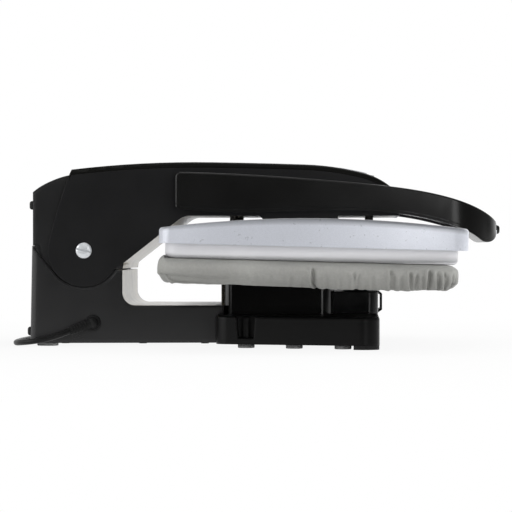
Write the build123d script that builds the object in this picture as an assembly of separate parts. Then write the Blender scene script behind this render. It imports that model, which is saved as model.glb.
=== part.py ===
from build123d import *
from math import acos, asin, cos, degrees, pi, radians, sin, sqrt, tan
import os

# A domestic ironing steam press, closed. A sprung upper arm carries the heated plate and its
# pressure handle over a padded board, which stands on a low pedestal with a pull-out water tank.
# X runs from the rear hinge to the user at the front, Y along the heated plate, Z up.
# The origin is on the table under the middle of the press. All sizes are in millimetres.

# Housing and hinge
HOUSING_WIDTH = 200.0      # base housing and arm, outside
WALL = 3.0                 # moulded housing walls
FIT = 0.3                  # gap between pieces that stay together
SLIDE = 0.7                # gap between pieces that move past each other
PIVOT_X = -184.5           # axis on which the arm opens
PIVOT_Z = 98.4
HUB_RADIUS = 37.0          # round bottom of the arm's cheeks
HUB_GAP = 1.5              # seam round the cheeks
AXLE_RADIUS = 5.0
AXLE_CLEARANCE = 0.05
BUSH_WALL = 2.5
SCREW_HEAD_RADIUS = 8.15   # bright slotted pivot screws
SCREW_HEAD_HEIGHT = 1.9
SCREW_SHANK_RADIUS = 3.0
SCREW_SHANK_LENGTH = 14.0
SCREW_SLOT = 1.6

# Base housing
BASE_BOTTOM = 4.4
BACK_X = -238.8            # foot of the back face
BACK_LEAN = 2.8            # the back face leans forward by this much at its top
BACK_TOP_Z = 156.6         # where the back face rolls over into the cover's arc
BACK_SEAM_Z = 103.3        # top of the housing's own back wall
BACK_CORNER = 6.0
COLUMN_FRONT_X = -144.8    # cream front of the rear column
COLUMN_TOP = 78.2
THROAT_FLOOR = 42.0
THROAT_RADIUS = 13.5
PLATE_THICKNESS = 2.5      # bottom plate
LINER_THICKNESS = WALL     # cream mouldings over the throat and under the arm
BOSS_RADIUS = 5.0
BOSS_HEIGHT = 22.0
BOSS_SINK = 0.5            # how far a boss runs into the side wall
BOSS_XS = (-204.0, -124.0, -60.0)
HEAD_DROP = 1.6
SEAM_ANGLE = 216.0         # where the straight seam leaves the round seat
LEDGE_X = -230.0           # ledge behind the back wall's top, which carries the cover
VENT_COUNT = 7
VENT_WIDTH = 4.0
VENT_LENGTH = 46.0
VENT_PITCH = 10.0
FRAME_OUTER = 86.0         # half width of the hinge frame
SPRING_WIRE = 3.0
SPRING_LENGTH = 30.0
PUMP_X = -96.0
PUMP_RADIUS = 13.0
PUMP_LENGTH = 50.0
PUMP_SPOUT = 8.0
HOSE_RADIUS = 4.0
HOSE_Z = 22.0
VALVE_X = -22.0
VALVE_STUB = 10.0
VALVE_Z = 42.0

# Rear cover between the cheeks
COVER_RADIUS = 79.2        # outer arc about the pivot
COVER_WALL = 2.3
COVER_FRONT_ANGLE = 62.0   # front end of the arc, degrees round the pivot
COVER_SKIRT = 6.0          # how far its sides hang below the cheeks
DRUM_RADIUS = 38.0         # round front of the cover, just behind the arm's liner

# Pedestal tray
TRAY_BACK_X = -46.0
TRAY_FRONT_X = 119.0
TRAY_BACK_HALF = 150.0
TRAY_FRONT_HALF = 206.0
TRAY_BOTTOM = 4.0
TRAY_TOP = 32.5
TRAY_CORNER = 16.0
TRAY_EDGE = 2.5
TRAY_RIB_COUNT = 6
NOTCH_X = -15.2            # finger notch in the side of the tray
NOTCH_WIDTH = 19.5
NOTCH_DEPTH = 12.0
NOTCH_BOTTOM = 10.0

# Pedestal block and water tank
BLOCK_BACK_X = -40.0
BLOCK_FRONT_X = 62.0
BLOCK_HALF = 96.0
BLOCK_CORNER = 13.0
BLOCK_CAVITY_BACK = -4.0
TANK_LENGTH = 120.0
TANK_FRONT_X = 118.5
TANK_HALF = 80.0
TANK_HEIGHT = 23.0
TANK_WALL = 2.2
TANK_CORNER = 10.0
FILLER_RADIUS = 11.0
FILLER_INSET = 24.0
RUNNER_HEIGHT = 4.0
RUNNER_WIDTH = 4.0
PULL_REACH = 4.5
PULL_THICKNESS = 2.0
PULL_HALF = 34.0
TAB_HALF = 4.0
STOPPER_FLANGE = 1.6

# Pressing stack: padded board, heated plate and its cover, pitched a little nose-down
STACK_X = 54.0
STACK_Z = 88.0
PITCH = 1.5
PAD_CENTRE = -4.2          # along X, from the middle of the stack
PAD_WIDTH = 284.0
PAD_LENGTH = 636.0
PAD_THICKNESS = 26.0
PAD_TOP_ROUND = 9.0
PAD_BOTTOM_ROUND = 11.0
PAD_CLEARANCE = 0.3
CORE_THICKNESS = 9.0
CORE_INSET = 13.0
CORE_RIB = 3.0
SHOE_CENTRE = -0.9
SHOE_WIDTH = 276.0
SHOE_LENGTH = 624.0
SHOE_THICKNESS = 13.7
SHOE_FLOOR = 5.5
SHOE_RIM = 5.0
SHOE_EDGE = 4.5
LID_CENTRE = 0.8
LID_WIDTH = 292.5
LID_LENGTH = 640.0
LID_WALL = 2.0
LID_EDGE = 3.2
LID_BACK_RISE = 14.6       # height of the cover's side walls over its seam
LID_FRONT_RISE = 20.6
LID_CROWN = 27.4
LID_CROWN_AT = 14.0
NEAR_BULGE = 10.0          # the blunt near end bows out by this much
NEAR_CORNER = 14.0
NOSE_HALF = 62.0           # half width where the nose's end arc starts
NOSE_DEPTH = 40.0
TAPER_LENGTH = 210.0
VENT_HOLE_RADIUS = 1.75
VENT_ROWS = 7
VENT_COLUMNS = 4
VENT_COLUMN_PITCH = 52.0
CHAMBER_U = -16.0          # steam chamber in the heating plate
CHAMBER_WIDTH = 84.0
CHAMBER_END_GAP = 102.0    # from the chamber's ends to the plate's ends
CHAMBER_LENGTH = SHOE_LENGTH - CHAMBER_END_GAP * 2
VENT_ROW_PITCH = CHAMBER_LENGTH / VENT_ROWS
CHAMBER_HEIGHT = 5.5
CHAMBER_RIB = 3.0
CHAMBER_LID = 1.5
ELEMENT_RADIUS = 4.0
ELEMENT_GAP = 4.0
TERMINAL_RISE = 14.0
THERMOSTAT_Y = -60.0
THERMOSTAT_RADIUS = 9.0
THERMOSTAT_HEIGHT = 7.0
FUSE_RADIUS = 3.0

# Arm
ARM_TOP_Z = 189.6
ARM_FRONT_X = 140.0
CROWN_DROPS = (            # crown's points: from the arm's front, and down from its top
    (0, 42.6), (-7, 27.1), (-36, 11.6), (-96.9, 2.6), (-192.6, 0.2), (-337.3, 7.6))
ARM_UNDERSIDE = 134.2
ARM_BAND = 6.0             # depth of the top cover's edge
ARM_EDGE = 5.0
ARM_STEP_X = 77.0
ARM_STEP = 3.6
ARM_SLANT_X = -59.0        # where the flat underside would meet the slant's bend
ARM_BEND = 14.0
SLANT_FOOT_RISE = 7.7      # how far above the column's top the slant starts
REAR_MIDDLE = (-26.5, 44.7)   # middle of the arm's rear edge, from the pivot
FRAME_THICKNESS = 2.5
FRAME_DECK = 141.0         # inner frame's deck over the plate
FRAME_FRONT_X = 125.0
FRAME_BAND = 11.0          # height of the frame's side plates at the front
FRAME_TAIL = 18.0          # and at the rear
ARM_OPENING = 40.0         # degrees by which the arm opens
FRAME_SPARE = 2.0          # degrees the open frame keeps clear of the rear cover's front end
HANGER_RADIUS = 4.0
HANGER_BACK_X = -32.0
HANGER_FRONT_X = 108.0
HANGER_HALF = 78.0
HANGER_BOSS_RADIUS = 8.0
HANGER_HOLE_GAP = 1.2

# Controls on top of the arm
PANEL_X = 92.0
PANEL_Z = 180.6
PANEL_SLOPE = 11.6
PANEL_LENGTH = 46.0
PANEL_WIDTH = 132.0
PANEL_THICKNESS = 2.0
DIAL_RADIUS = 15.0
DIAL_HEIGHT = 2.6
DIAL_RIBS = 24
DIAL_GROOVE = 0.7
BUTTON_LENGTH = 16.0
BUTTON_WIDTH = 24.0
BUTTON_TRAVEL = 1.2
BUTTON_HEIGHT = BUTTON_TRAVEL + 0.4   # how far a button stands above the panel
CONTROL_PITCH = 42.0
BOARD_DROP = 6.0
BOARD_THICKNESS = 1.6
BOARD_POST_INSET = 5.0
RELAY = (16.0, 20.0, 14.0)
TERMINALS = (12.0, 40.0, 10.0)
RELAY_PLACE = (-8.0, -30.0)
TERMINALS_PLACE = (6.0, 26.0)
LAMP_X = -18.0
LAMP_Y = 16.0
LAMP_PROUD = 0.4
LAMP_RADIUS = 2.2

# Handle
HANDLE_PIVOT_X = -68.0
HANDLE_PIVOT_Z = 159.5
HANDLE_PIN_RADIUS = 6.0
HANDLE_WALL = 12.5         # thickness of the side plates
HANDLE_BACK_X = -89.5
HANDLE_TIP_X = 238.4
HANDLE_TOP_Z = 179.0
HANDLE_DEPTH = 38.0
HANDLE_LIP = 3.0
HANDLE_CORNER = 6.0
HANDLE_EDGE = 2.0          # rounding of the handle's outer edges
HANDLE_TOP_DROPS = (       # handle's top edge: from the tip, and down from its top
    (-169.6, 8.6), (-107, 15.2), (-62.9, 23.6), (-17.4, 41.2), (0, 54.5))
HANDLE_FOOT_DROPS = (      # and its bottom edge, from the grip backwards
    (-16.4, 70), (-29, 61.2), (-54.2, 51.7), (-98.1, 43), (-169.4, 39.7))
CHIN = (-9.5, 71.9)        # lowest point under the grip
GRIP_WIDTH = 34.0
GRIP_CORNER = 46.0
LOOP_CORNER = 22.0
STEAM_BUTTON_Z = 120.0
STEAM_BUTTON_LENGTH = 46.0
STEAM_BUTTON_HEIGHT = 9.4
STEAM_BUTTON_PROUD = 3.2
STEAM_BUTTON_TRAVEL = 2.0
RING_WALL = 1.4
RING_PROUD = 1.2
WELL_DEPTH = 12.0

# Feet and bumpers
REAR_FOOT_RADIUS = 11.0
REAR_FOOT_X = -223.5
REAR_FOOT_Y = 82.0
TRAY_FOOT_RADIUS = 8.5
TRAY_FOOT_XS = (-15.5, 33.5, 82.5)
TRAY_FOOT_INSET = 19.0
FOOT_ROUND = 1.0
CORNER_FOOT_LENGTH = 26.0
CORNER_FOOT_WIDTH = 34.0
BUMPER_HEIGHT = 10.0
BUMPER_HALF = 64.0
BUMPER_PROUD = 3.4
BUMPER_ZS = (15.3, 144.0)

# Mains cord
CORD = 6.0                 # diameter
GLAND_X = -175.2
GLAND_Z = 24.1
GLAND_RADIUS = 8.0
GLAND_SHANK = 6.0
GLAND_PROUD = 3.0
BOOT_LENGTH = 20.0
BOOT_TIP_RADIUS = 4.2
COIL_X = -196.0
COIL_Y = 172.0
COIL_MEAN_RADIUS = 33.5
COIL_TURNS = 6.25          # half in the lower layer, half in the upper
COIL_BED = 4.4             # height of the lower layer's middle, over its tie
COIL_TAIL = 26.0
TIE_WALL = 0.6
TIE_WIDTH = 9.0
PLUG_NECK = 14.0
PLUG_LENGTH = 26.0
PLUG_WIDTH = 25.0
PLUG_HEIGHT = 20.0
PLUG_GROOVES = 4
GROOVE = 1.4
BLADE = (16.0, 1.5, 6.3)
BLADE_HALF_PITCH = 6.35
BLADE_RISE = 2.5
EARTH_RADIUS = 2.4
EARTH_LENGTH = 20.0
EARTH_DROP = 5.0
COIL_GAP = 0.7
CORD_LAID = CORD / 2 + 0.3 # height of the cord's middle where it lies on the table

SIDE = HOUSING_WIDTH / 2
INNER_SIDE = SIDE - WALL
BLOCK_MIDDLE = (BLOCK_FRONT_X + BLOCK_BACK_X) / 2
NOSE_WAY = Vector(-0.68, 0.73).normalized()
BOOT_WAY = Vector(-0.86, -0.4, -0.32).normalized()


def side_plane(y):
    """Sketch plane across the press: local x is X and local y is Z."""
    return Plane(origin=(0, y, 0), x_dir=(1, 0, 0), z_dir=(0, -1, 0))


def across(profile, y_from, y_to):
    """A side profile carried across the press."""
    return extrude(side_plane(y_to) * profile, amount=y_to - y_from)


def slab(x_from, x_to, y_from, y_to, z_from, z_to):
    """A plain block between six faces."""
    size = (x_to - x_from, y_to - y_from, z_to - z_from)
    middle = ((x_from + x_to) / 2, (y_from + y_to) / 2, (z_from + z_to) / 2)
    return Pos(*middle) * Box(*size)


def cross_rod(x, z, radius, y_from, y_to):
    """A round bar parallel to the hinge axle."""
    return Pos(x, (y_from + y_to) / 2, z) * Rot(90, 0, 0) * Cylinder(radius, y_to - y_from)


def post(x, y, radius, z_from, z_to):
    """An upright round bar."""
    return Pos(x, y, (z_from + z_to) / 2) * Cylinder(radius, z_to - z_from)


def both_sides(piece):
    """The piece and its mirror image on the far side of the press."""
    return piece + mirror(piece, about=Plane.XZ)


def about_pivot(radius, angle):
    """A point of the side view, given by its distance and angle round the hinge."""
    return (PIVOT_X + radius * cos(radians(angle)), PIVOT_Z + radius * sin(radians(angle)))


def window(x_from, x_to, z_from, z_to):
    """A rectangle of the side view."""
    return Pos((x_from + x_to) / 2, (z_from + z_to) / 2) * Rectangle(x_to - x_from, z_to - z_from)


def outline(*edges):
    """A face bounded by edges given in order."""
    return make_face(Wire(list(edges)))


def stacked(piece):
    """Carries a piece drawn flat at the pad's top into the pitched pressing stack."""
    return Pos(STACK_X, 0, STACK_Z) * Rot(0, PITCH, 0) * piece


def tangent_chain(points, way):
    """Arcs through the points in turn, each one leaving in the direction the last one came in."""
    edges = []
    for start, end in zip(points, points[1:]):
        edges.append(Edge.make_tangent_arc(Vector(*start), way, Vector(*end)))
        way = edges[-1].tangent_at(1)
    return edges


def biarc(start, start_way, end, end_way):
    """Two arcs that join two points with a given direction at each."""
    chord = end - start
    spread = 2 * (1 - start_way.dot(end_way))
    along = chord.dot(start_way + end_way)
    if spread < 1e-9:
        reach = chord.dot(chord) / (2 * along)
    else:
        reach = (sqrt(along * along + spread * chord.dot(chord)) - along) / spread
    joint = (start + start_way * reach + end - end_way * reach) * 0.5
    first = Edge.make_tangent_arc(start, start_way, joint)
    second = Edge.make_tangent_arc(joint, first.tangent_at(1), end)
    return [first, second]


def arc_route(place, steps):
    """A smooth path of arcs through a formula's points, from step 0 to the last step."""
    nudge = 0.01

    def way(step):
        return (Vector(place(step + nudge)) - Vector(place(step - nudge))).normalized()

    edges = []
    for step in range(steps):
        edges += biarc(Vector(place(step)), way(step), Vector(place(step + 1)), way(step + 1))
    return edges


def tube(path, radius):
    """A round section carried along a path."""
    start = path.position_at(0)
    way = path.tangent_at(0)
    return sweep(Plane(origin=start, z_dir=way) * Circle(radius), path=path)


def corner_radii(points):
    """The largest easy radius at each inner corner of a route of straight runs."""
    radii = []
    for before, here, after in zip(points, points[1:], points[2:]):
        into = Vector(here) - Vector(before)
        out = Vector(after) - Vector(here)
        half_turn = radians(into.get_angle(out)) / 2
        radii.append(0.45 * min(into.length, out.length) / tan(half_turn))
    return radii


def back_x(z):
    """The leaning back face at a height."""
    rise = (z - BASE_BOTTOM) / (BACK_TOP_Z - BASE_BOTTOM)
    return BACK_X + BACK_LEAN * rise


def housing_profile():
    """Side of the base housing: rear column with its round seat for the arm, and throat bar."""
    seat = HUB_RADIUS + HUB_GAP
    level = 360 - degrees(asin((PIVOT_Z - COLUMN_TOP) / seat))
    seam_foot = about_pivot(seat, SEAM_ANGLE)
    shoulder = about_pivot(seat, level)
    throat_start = (COLUMN_FRONT_X, THROAT_FLOOR + THROAT_RADIUS)
    throat_end = (COLUMN_FRONT_X + THROAT_RADIUS, THROAT_FLOOR)
    lap_x = BLOCK_BACK_X - FIT
    lap_z = TRAY_TOP + FIT
    bar_end = TRAY_BACK_X - FIT
    return outline(
        Line((back_x(BASE_BOTTOM), BASE_BOTTOM), (bar_end, BASE_BOTTOM)),
        Line((bar_end, BASE_BOTTOM), (bar_end, lap_z)),
        Line((bar_end, lap_z), (lap_x, lap_z)),
        Line((lap_x, lap_z), (lap_x, THROAT_FLOOR)),
        Line((lap_x, THROAT_FLOOR), throat_end),
        Edge.make_tangent_arc(Vector(*throat_end), Vector(-1, 0), Vector(*throat_start)),
        Line(throat_start, (COLUMN_FRONT_X, COLUMN_TOP)),
        Line((COLUMN_FRONT_X, COLUMN_TOP), shoulder),
        ThreePointArc(shoulder, about_pivot(seat, (level + SEAM_ANGLE) / 2), seam_foot),
        Line(seam_foot, (back_x(BACK_SEAM_Z), BACK_SEAM_Z)),
        Line((back_x(BACK_SEAM_Z), BACK_SEAM_Z), (back_x(BASE_BOTTOM), BASE_BOTTOM)),
    )


def throat_strip():
    """Side view of the cream liner: down the column's front, round the bend, along the bar."""
    face = housing_profile()
    inward = Pos(-LINER_THICKNESS, -LINER_THICKNESS) * face
    lip_x = about_pivot(DRUM_RADIUS, -degrees(asin((PIVOT_Z - COLUMN_TOP) / DRUM_RADIUS)))[0] + FIT
    reach = window(lip_x, TRAY_BACK_X - WALL - FIT * 2, THROAT_FLOOR - LINER_THICKNESS, COLUMN_TOP)
    return (face - inward) & reach


def boss_places():
    """Where the screw bosses stand on the bottom plate, on both sides."""
    y = INNER_SIDE - BOSS_RADIUS + BOSS_SINK
    return [(x, side * y) for x in BOSS_XS for side in (-1, 1)]


def base_housing():
    """Rear column and throat bar: two side walls joined by the back and the front end wall."""
    body = across(housing_profile(), -SIDE, SIDE)

    def on_back_corner(edge):
        middle = edge.center()
        return abs(middle.X - back_x(middle.Z)) < 1 and abs(middle.Y) > INNER_SIDE

    body = fillet(body.edges().filter_by(on_back_corner), BACK_CORNER)
    wall_x = BACK_X + WALL + 1
    inside = housing_profile() & window(wall_x, TRAY_BACK_X - FIT - WALL, 0, PIVOT_Z * 2)
    body -= across(inside, -INNER_SIDE, INNER_SIDE)
    body += slab(wall_x - 1, LEDGE_X, -INNER_SIDE, INNER_SIDE, BACK_SEAM_Z - WALL, BACK_SEAM_Z)
    boss_foot = BASE_BOTTOM + PLATE_THICKNESS
    for x, y in boss_places():
        body += post(x, y, BOSS_RADIUS, boss_foot, boss_foot + BOSS_HEIGHT)
        body -= post(x, y, BOSS_RADIUS / 3, boss_foot, boss_foot + BOSS_HEIGHT / 2)
    body -= cross_rod(GLAND_X, GLAND_Z, GLAND_SHANK, -SIDE - 1, -INNER_SIDE + 1)
    pipe_hole = Pos(TRAY_BACK_X, 0, HOSE_Z) * Rot(0, 90, 0) * Cylinder(HOSE_RADIUS + 1, WALL * 4)
    return body - pipe_hole


def base_liner():
    """Cream moulding that faces the throat between the side walls."""
    return across(throat_strip(), -INNER_SIDE + FIT, INNER_SIDE - FIT)


def cover_profile(inset):
    """Side of the rear cover: back, arc under the arm's top, drum behind the arm's liner, skirt."""
    outer = COVER_RADIUS - inset
    drum = DRUM_RADIUS - inset
    back = back_x(BACK_TOP_Z) + inset
    back_angle = degrees(acos((back - PIVOT_X) / outer))
    front = COVER_FRONT_ANGLE + inset
    drum_foot = -degrees(asin((PIVOT_Z - COLUMN_TOP) / drum))
    open_below = 2 * inset
    foot = BACK_SEAM_Z + FIT - open_below
    skirt = PIVOT_Z - HUB_RADIUS - COVER_SKIRT - open_below
    corners = [about_pivot(drum, drum_foot), (about_pivot(drum, drum_foot)[0], skirt),
               (PIVOT_X - drum, skirt), (LEDGE_X + FIT + inset, foot), (back, foot),
               about_pivot(outer, back_angle)]
    sides = [Line(a, b) for a, b in zip(corners, corners[1:])]
    return outline(
        *sides,
        ThreePointArc(about_pivot(outer, back_angle), about_pivot(outer, (back_angle + front) / 2),
                      about_pivot(outer, front)),
        Line(about_pivot(outer, front), about_pivot(drum, front)),
        ThreePointArc(about_pivot(drum, front), about_pivot(drum, (front + drum_foot) / 2),
                      about_pivot(drum, drum_foot)),
    )


def rear_cover():
    """Fixed cover between the cheeks; the arm's top slides over it as the press opens."""
    half = INNER_SIDE - SLIDE
    shell = across(cover_profile(0), -half, half)
    shell -= across(cover_profile(COVER_WALL), -half + COVER_WALL, half - COVER_WALL)
    return shell - cross_rod(PIVOT_X, PIVOT_Z, AXLE_RADIUS + AXLE_CLEARANCE, -SIDE, SIDE)


def bottom_plate():
    """Steel closing plate with cooling slots under the rear housing."""
    x_from = BACK_X + WALL + 1 + FIT
    x_to = TRAY_BACK_X - WALL - FIT * 2
    half = INNER_SIDE - FIT
    plate = slab(x_from, x_to, -half, half, BASE_BOTTOM, BASE_BOTTOM + PLATE_THICKNESS)
    plate = fillet(plate.edges().filter_by(Axis.Z), WALL)
    middle = (x_from + x_to) / 2
    for number in range(VENT_COUNT):
        x = middle + (number - (VENT_COUNT - 1) / 2) * VENT_PITCH
        plate -= slab(x - VENT_WIDTH / 2, x + VENT_WIDTH / 2, -VENT_LENGTH / 2, VENT_LENGTH / 2,
                      0, BASE_BOTTOM * 2)
    return plate


def hinge_frame():
    """Folded steel frame on the bottom plate that holds the axle inside the column."""
    foot = BASE_BOTTOM + PLATE_THICKNESS
    outer = FRAME_OUTER
    head = AXLE_RADIUS * 3
    edges = Polyline((PIVOT_X - HUB_RADIUS, foot), (PIVOT_X + HUB_RADIUS * 0.8, foot),
                     (PIVOT_X + HUB_RADIUS * 0.8, foot + BOSS_HEIGHT), (PIVOT_X + head, PIVOT_Z),
                     (PIVOT_X - head, PIVOT_Z), (PIVOT_X - HUB_RADIUS, foot + BOSS_HEIGHT),
                     (PIVOT_X - HUB_RADIUS, foot))
    cheek = make_face(edges) + Pos(PIVOT_X, PIVOT_Z) * Circle(head)
    lightening = Pos(PIVOT_X, (foot + PIVOT_Z) / 2) * Circle(head * 0.7)
    cheek = cheek - lightening
    frame = both_sides(across(cheek, outer - FRAME_THICKNESS, outer))
    frame += slab(PIVOT_X - HUB_RADIUS, PIVOT_X + HUB_RADIUS * 0.8, -outer, outer,
                  foot, foot + FRAME_THICKNESS)
    return frame - cross_rod(PIVOT_X, PIVOT_Z, AXLE_RADIUS, -SIDE, SIDE)


def hinge_axle():
    """Steel rod through the frame, the rear cover and the arm's bushes."""
    rod = cross_rod(PIVOT_X, PIVOT_Z, AXLE_RADIUS, -SIDE, SIDE)
    tapped = cross_rod(PIVOT_X, PIVOT_Z, SCREW_SHANK_RADIUS, SIDE - SCREW_SHANK_LENGTH, SIDE + 1)
    return rod - both_sides(tapped)


def pivot_screws():
    """Bright slotted screws in the ends of the axle."""
    head_from = SIDE + FIT
    head = cross_rod(PIVOT_X, PIVOT_Z, SCREW_HEAD_RADIUS, head_from, head_from + SCREW_HEAD_HEIGHT)
    rim = head.edges().filter_by(GeomType.CIRCLE).sort_by(Axis.Y)[-1]
    head = fillet(rim, SCREW_HEAD_HEIGHT / 2)
    slot_foot = head_from + SCREW_HEAD_HEIGHT / 2
    head -= slab(PIVOT_X - SCREW_HEAD_RADIUS, PIVOT_X + SCREW_HEAD_RADIUS, slot_foot, SIDE * 2,
                 PIVOT_Z - SCREW_SLOT / 2, PIVOT_Z + SCREW_SLOT / 2)
    head += cross_rod(PIVOT_X, PIVOT_Z, SCREW_SHANK_RADIUS, SIDE - SCREW_SHANK_LENGTH, head_from)
    return both_sides(head)


def lift_springs():
    """Springs on the axle that raise the arm, each with a leg against the frame's base."""
    inner = AXLE_RADIUS + 1
    outer = inner + SPRING_WIRE
    y_from = FRAME_OUTER - FRAME_THICKNESS - SPRING_LENGTH - 1
    coil = cross_rod(PIVOT_X, PIVOT_Z, outer, y_from, y_from + SPRING_LENGTH)
    coil -= cross_rod(PIVOT_X, PIVOT_Z, inner, y_from - 1, y_from + SPRING_LENGTH + 1)
    leg_x = PIVOT_X - outer + SPRING_WIRE / 2
    leg = post(leg_x, y_from + SPRING_WIRE / 2, SPRING_WIRE / 2,
               BASE_BOTTOM + PLATE_THICKNESS + FRAME_THICKNESS, PIVOT_Z)
    return both_sides(coil + leg)


def pump():
    """Vibration pump lying in the throat bar, with a spout at each end."""
    body = Pos(PUMP_X, 0, HOSE_Z) * Rot(0, 90, 0) * Cylinder(PUMP_RADIUS, PUMP_LENGTH)
    body += Pos(PUMP_X, 0, HOSE_Z) * Rot(0, 90, 0) * Cylinder(HOSE_RADIUS, PUMP_LENGTH + PUMP_SPOUT * 2)
    winding = slab(PUMP_X - PUMP_LENGTH / 4, PUMP_X + PUMP_LENGTH / 4, -PUMP_RADIUS - 1,
                   PUMP_RADIUS + 1, HOSE_Z - PUMP_RADIUS, HOSE_Z + PUMP_RADIUS + 1)
    return body + winding


def pump_saddle():
    """Rubber saddle between the pump and the bottom plate."""
    foot = BASE_BOTTOM + PLATE_THICKNESS
    return slab(PUMP_X - PUMP_LENGTH / 4, PUMP_X + PUMP_LENGTH / 4, -PUMP_RADIUS, PUMP_RADIUS,
                foot, HOSE_Z - PUMP_RADIUS)


def water_hoses():
    """Hose from the tank valve to the pump, and from the pump up to the hollow hinge axle."""
    inlet_from = PUMP_X + PUMP_LENGTH / 2 + PUMP_SPOUT
    inlet_to = VALVE_X - VALVE_STUB
    inlet = Pos((inlet_from + inlet_to) / 2, 0, HOSE_Z) * Rot(0, 90, 0) * Cylinder(
        HOSE_RADIUS, inlet_to - inlet_from)
    start = PUMP_X - PUMP_LENGTH / 2 - PUMP_SPOUT
    route = [(start, 0, HOSE_Z), (PIVOT_X, 0, HOSE_Z), (PIVOT_X, 0, PIVOT_Z - AXLE_RADIUS)]
    riser = tube(FilletPolyline(*route, radius=corner_radii(route)), HOSE_RADIUS)
    return Compound(children=[inlet, riser])


def housing_screws():
    """Screw heads under the bottom plate, one for each of the housing's bosses."""
    return Compound(children=[
        post(x, y, BOSS_RADIUS * 0.8, BASE_BOTTOM - HEAD_DROP, BASE_BOTTOM) for x, y in boss_places()])


def rear_bumpers():
    """Two rubber bars on the back, on which the press can stand upright for storage."""
    behind = make_face(Polyline((back_x(0), 0), (PIVOT_X, 0), (PIVOT_X, ARM_TOP_Z),
                                (back_x(ARM_TOP_Z), ARM_TOP_Z), (back_x(0), 0)))
    bars = []
    for z in BUMPER_ZS:
        face_x = back_x(z) - BUMPER_PROUD
        bar = slab(face_x, face_x + BUMPER_PROUD * 2, -BUMPER_HALF, BUMPER_HALF,
                   z - BUMPER_HEIGHT / 2, z + BUMPER_HEIGHT / 2)
        bar = fillet(bar.faces().sort_by(Axis.X)[0].edges(), BUMPER_PROUD * 0.6)
        bars.append(bar - across(behind, -SIDE, SIDE))
    return Compound(children=bars)


def tray_plan(inset):
    """Plan of the tray: wider at the front than at the back, with rounded corners."""
    back = TRAY_BACK_X + inset
    front = TRAY_FRONT_X - inset
    corners = Polyline((back, -TRAY_BACK_HALF + inset), (front, -TRAY_FRONT_HALF + inset),
                       (front, TRAY_FRONT_HALF - inset), (back, TRAY_BACK_HALF - inset),
                       (back, -TRAY_BACK_HALF + inset))
    face = make_face(corners)
    return fillet(face.vertices(), TRAY_CORNER - inset)


def tray_half(x):
    """Half width of the tray at a place along its length."""
    share = (x - TRAY_BACK_X) / (TRAY_FRONT_X - TRAY_BACK_X)
    return TRAY_BACK_HALF + share * (TRAY_FRONT_HALF - TRAY_BACK_HALF)


def notch(extra):
    """Finger notch in the tray's side, as a block to cut away."""
    depth = tray_half(NOTCH_X) - NOTCH_DEPTH - extra
    half = NOTCH_WIDTH / 2 + extra
    foot = NOTCH_BOTTOM - extra
    face = make_face(Polyline((NOTCH_X - half, TRAY_TOP + 1), (NOTCH_X - half * 0.8, foot),
                              (NOTCH_X + half * 0.8, foot), (NOTCH_X + half, TRAY_TOP + 1),
                              (NOTCH_X - half, TRAY_TOP + 1)))
    return both_sides(across(face, -TRAY_FRONT_HALF, -depth))


def pedestal_tray():
    """Wide black foot of the press: a shell open underneath, with cross ribs and side notches."""
    body = extrude(Pos(0, 0, TRAY_BOTTOM) * tray_plan(0), amount=TRAY_TOP - TRAY_BOTTOM)
    body = fillet(body.edges().group_by(Axis.Z)[-1], TRAY_EDGE)
    body -= notch(0)
    pocket = extrude(Pos(0, 0, TRAY_BOTTOM - 1) * tray_plan(WALL), amount=TRAY_TOP - TRAY_BOTTOM + 1 - WALL)
    pocket -= notch(WALL)
    length = TRAY_FRONT_X - TRAY_BACK_X
    for number in range(1, TRAY_RIB_COUNT):
        x = TRAY_BACK_X + length * number / TRAY_RIB_COUNT
        if abs(x - NOTCH_X) < NOTCH_WIDTH / 2 + WALL * 2:
            continue
        pocket -= slab(x - WALL / 2, x + WALL / 2, -TRAY_FRONT_HALF, TRAY_FRONT_HALF, HOSE_Z + 6, TRAY_TOP)
    body -= pocket
    for x, y in tray_foot_places():
        body += post(x, y, TRAY_FOOT_RADIUS, TRAY_BOTTOM, TRAY_TOP - WALL / 2)
    body -= Pos(TRAY_BACK_X, 0, HOSE_Z) * Rot(0, 90, 0) * Cylinder(HOSE_RADIUS + 1, WALL * 4)
    return body - post(VALVE_X, 0, HOSE_RADIUS + 1, HOSE_Z, TRAY_TOP + 1)


def tray_foot_places():
    """Centres of the round rubber feet under the tray."""
    return [(x, side * (tray_half(x) - TRAY_FOOT_INSET)) for x in TRAY_FOOT_XS for side in (-1, 1)]


def tray_feet():
    """Grey rubber feet pressed on the tray's posts."""
    feet = []
    for x, y in tray_foot_places():
        foot = post(x, y, TRAY_FOOT_RADIUS, 0, TRAY_BOTTOM)
        feet.append(fillet(foot.edges().group_by(Axis.Z)[0], FOOT_ROUND))
    return Compound(children=feet)


def rear_feet():
    """Grey rubber feet under the rear corners of the housing."""
    feet = []
    for side in (-1, 1):
        foot = post(REAR_FOOT_X, side * REAR_FOOT_Y, REAR_FOOT_RADIUS, 0, BASE_BOTTOM)
        feet.append(fillet(foot.edges().group_by(Axis.Z)[0], FOOT_ROUND))
    return Compound(children=feet)


def corner_feet():
    """Large black rubber feet under the tray's front corners."""
    inner = TRAY_FRONT_HALF - CORNER_FOOT_WIDTH
    back = TRAY_FRONT_X - CORNER_FOOT_LENGTH
    corner = extrude(tray_plan(FIT), amount=TRAY_BOTTOM)
    corner &= slab(back, TRAY_FRONT_X, -TRAY_FRONT_HALF, -inner, 0, TRAY_BOTTOM)
    return both_sides(corner)


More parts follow.
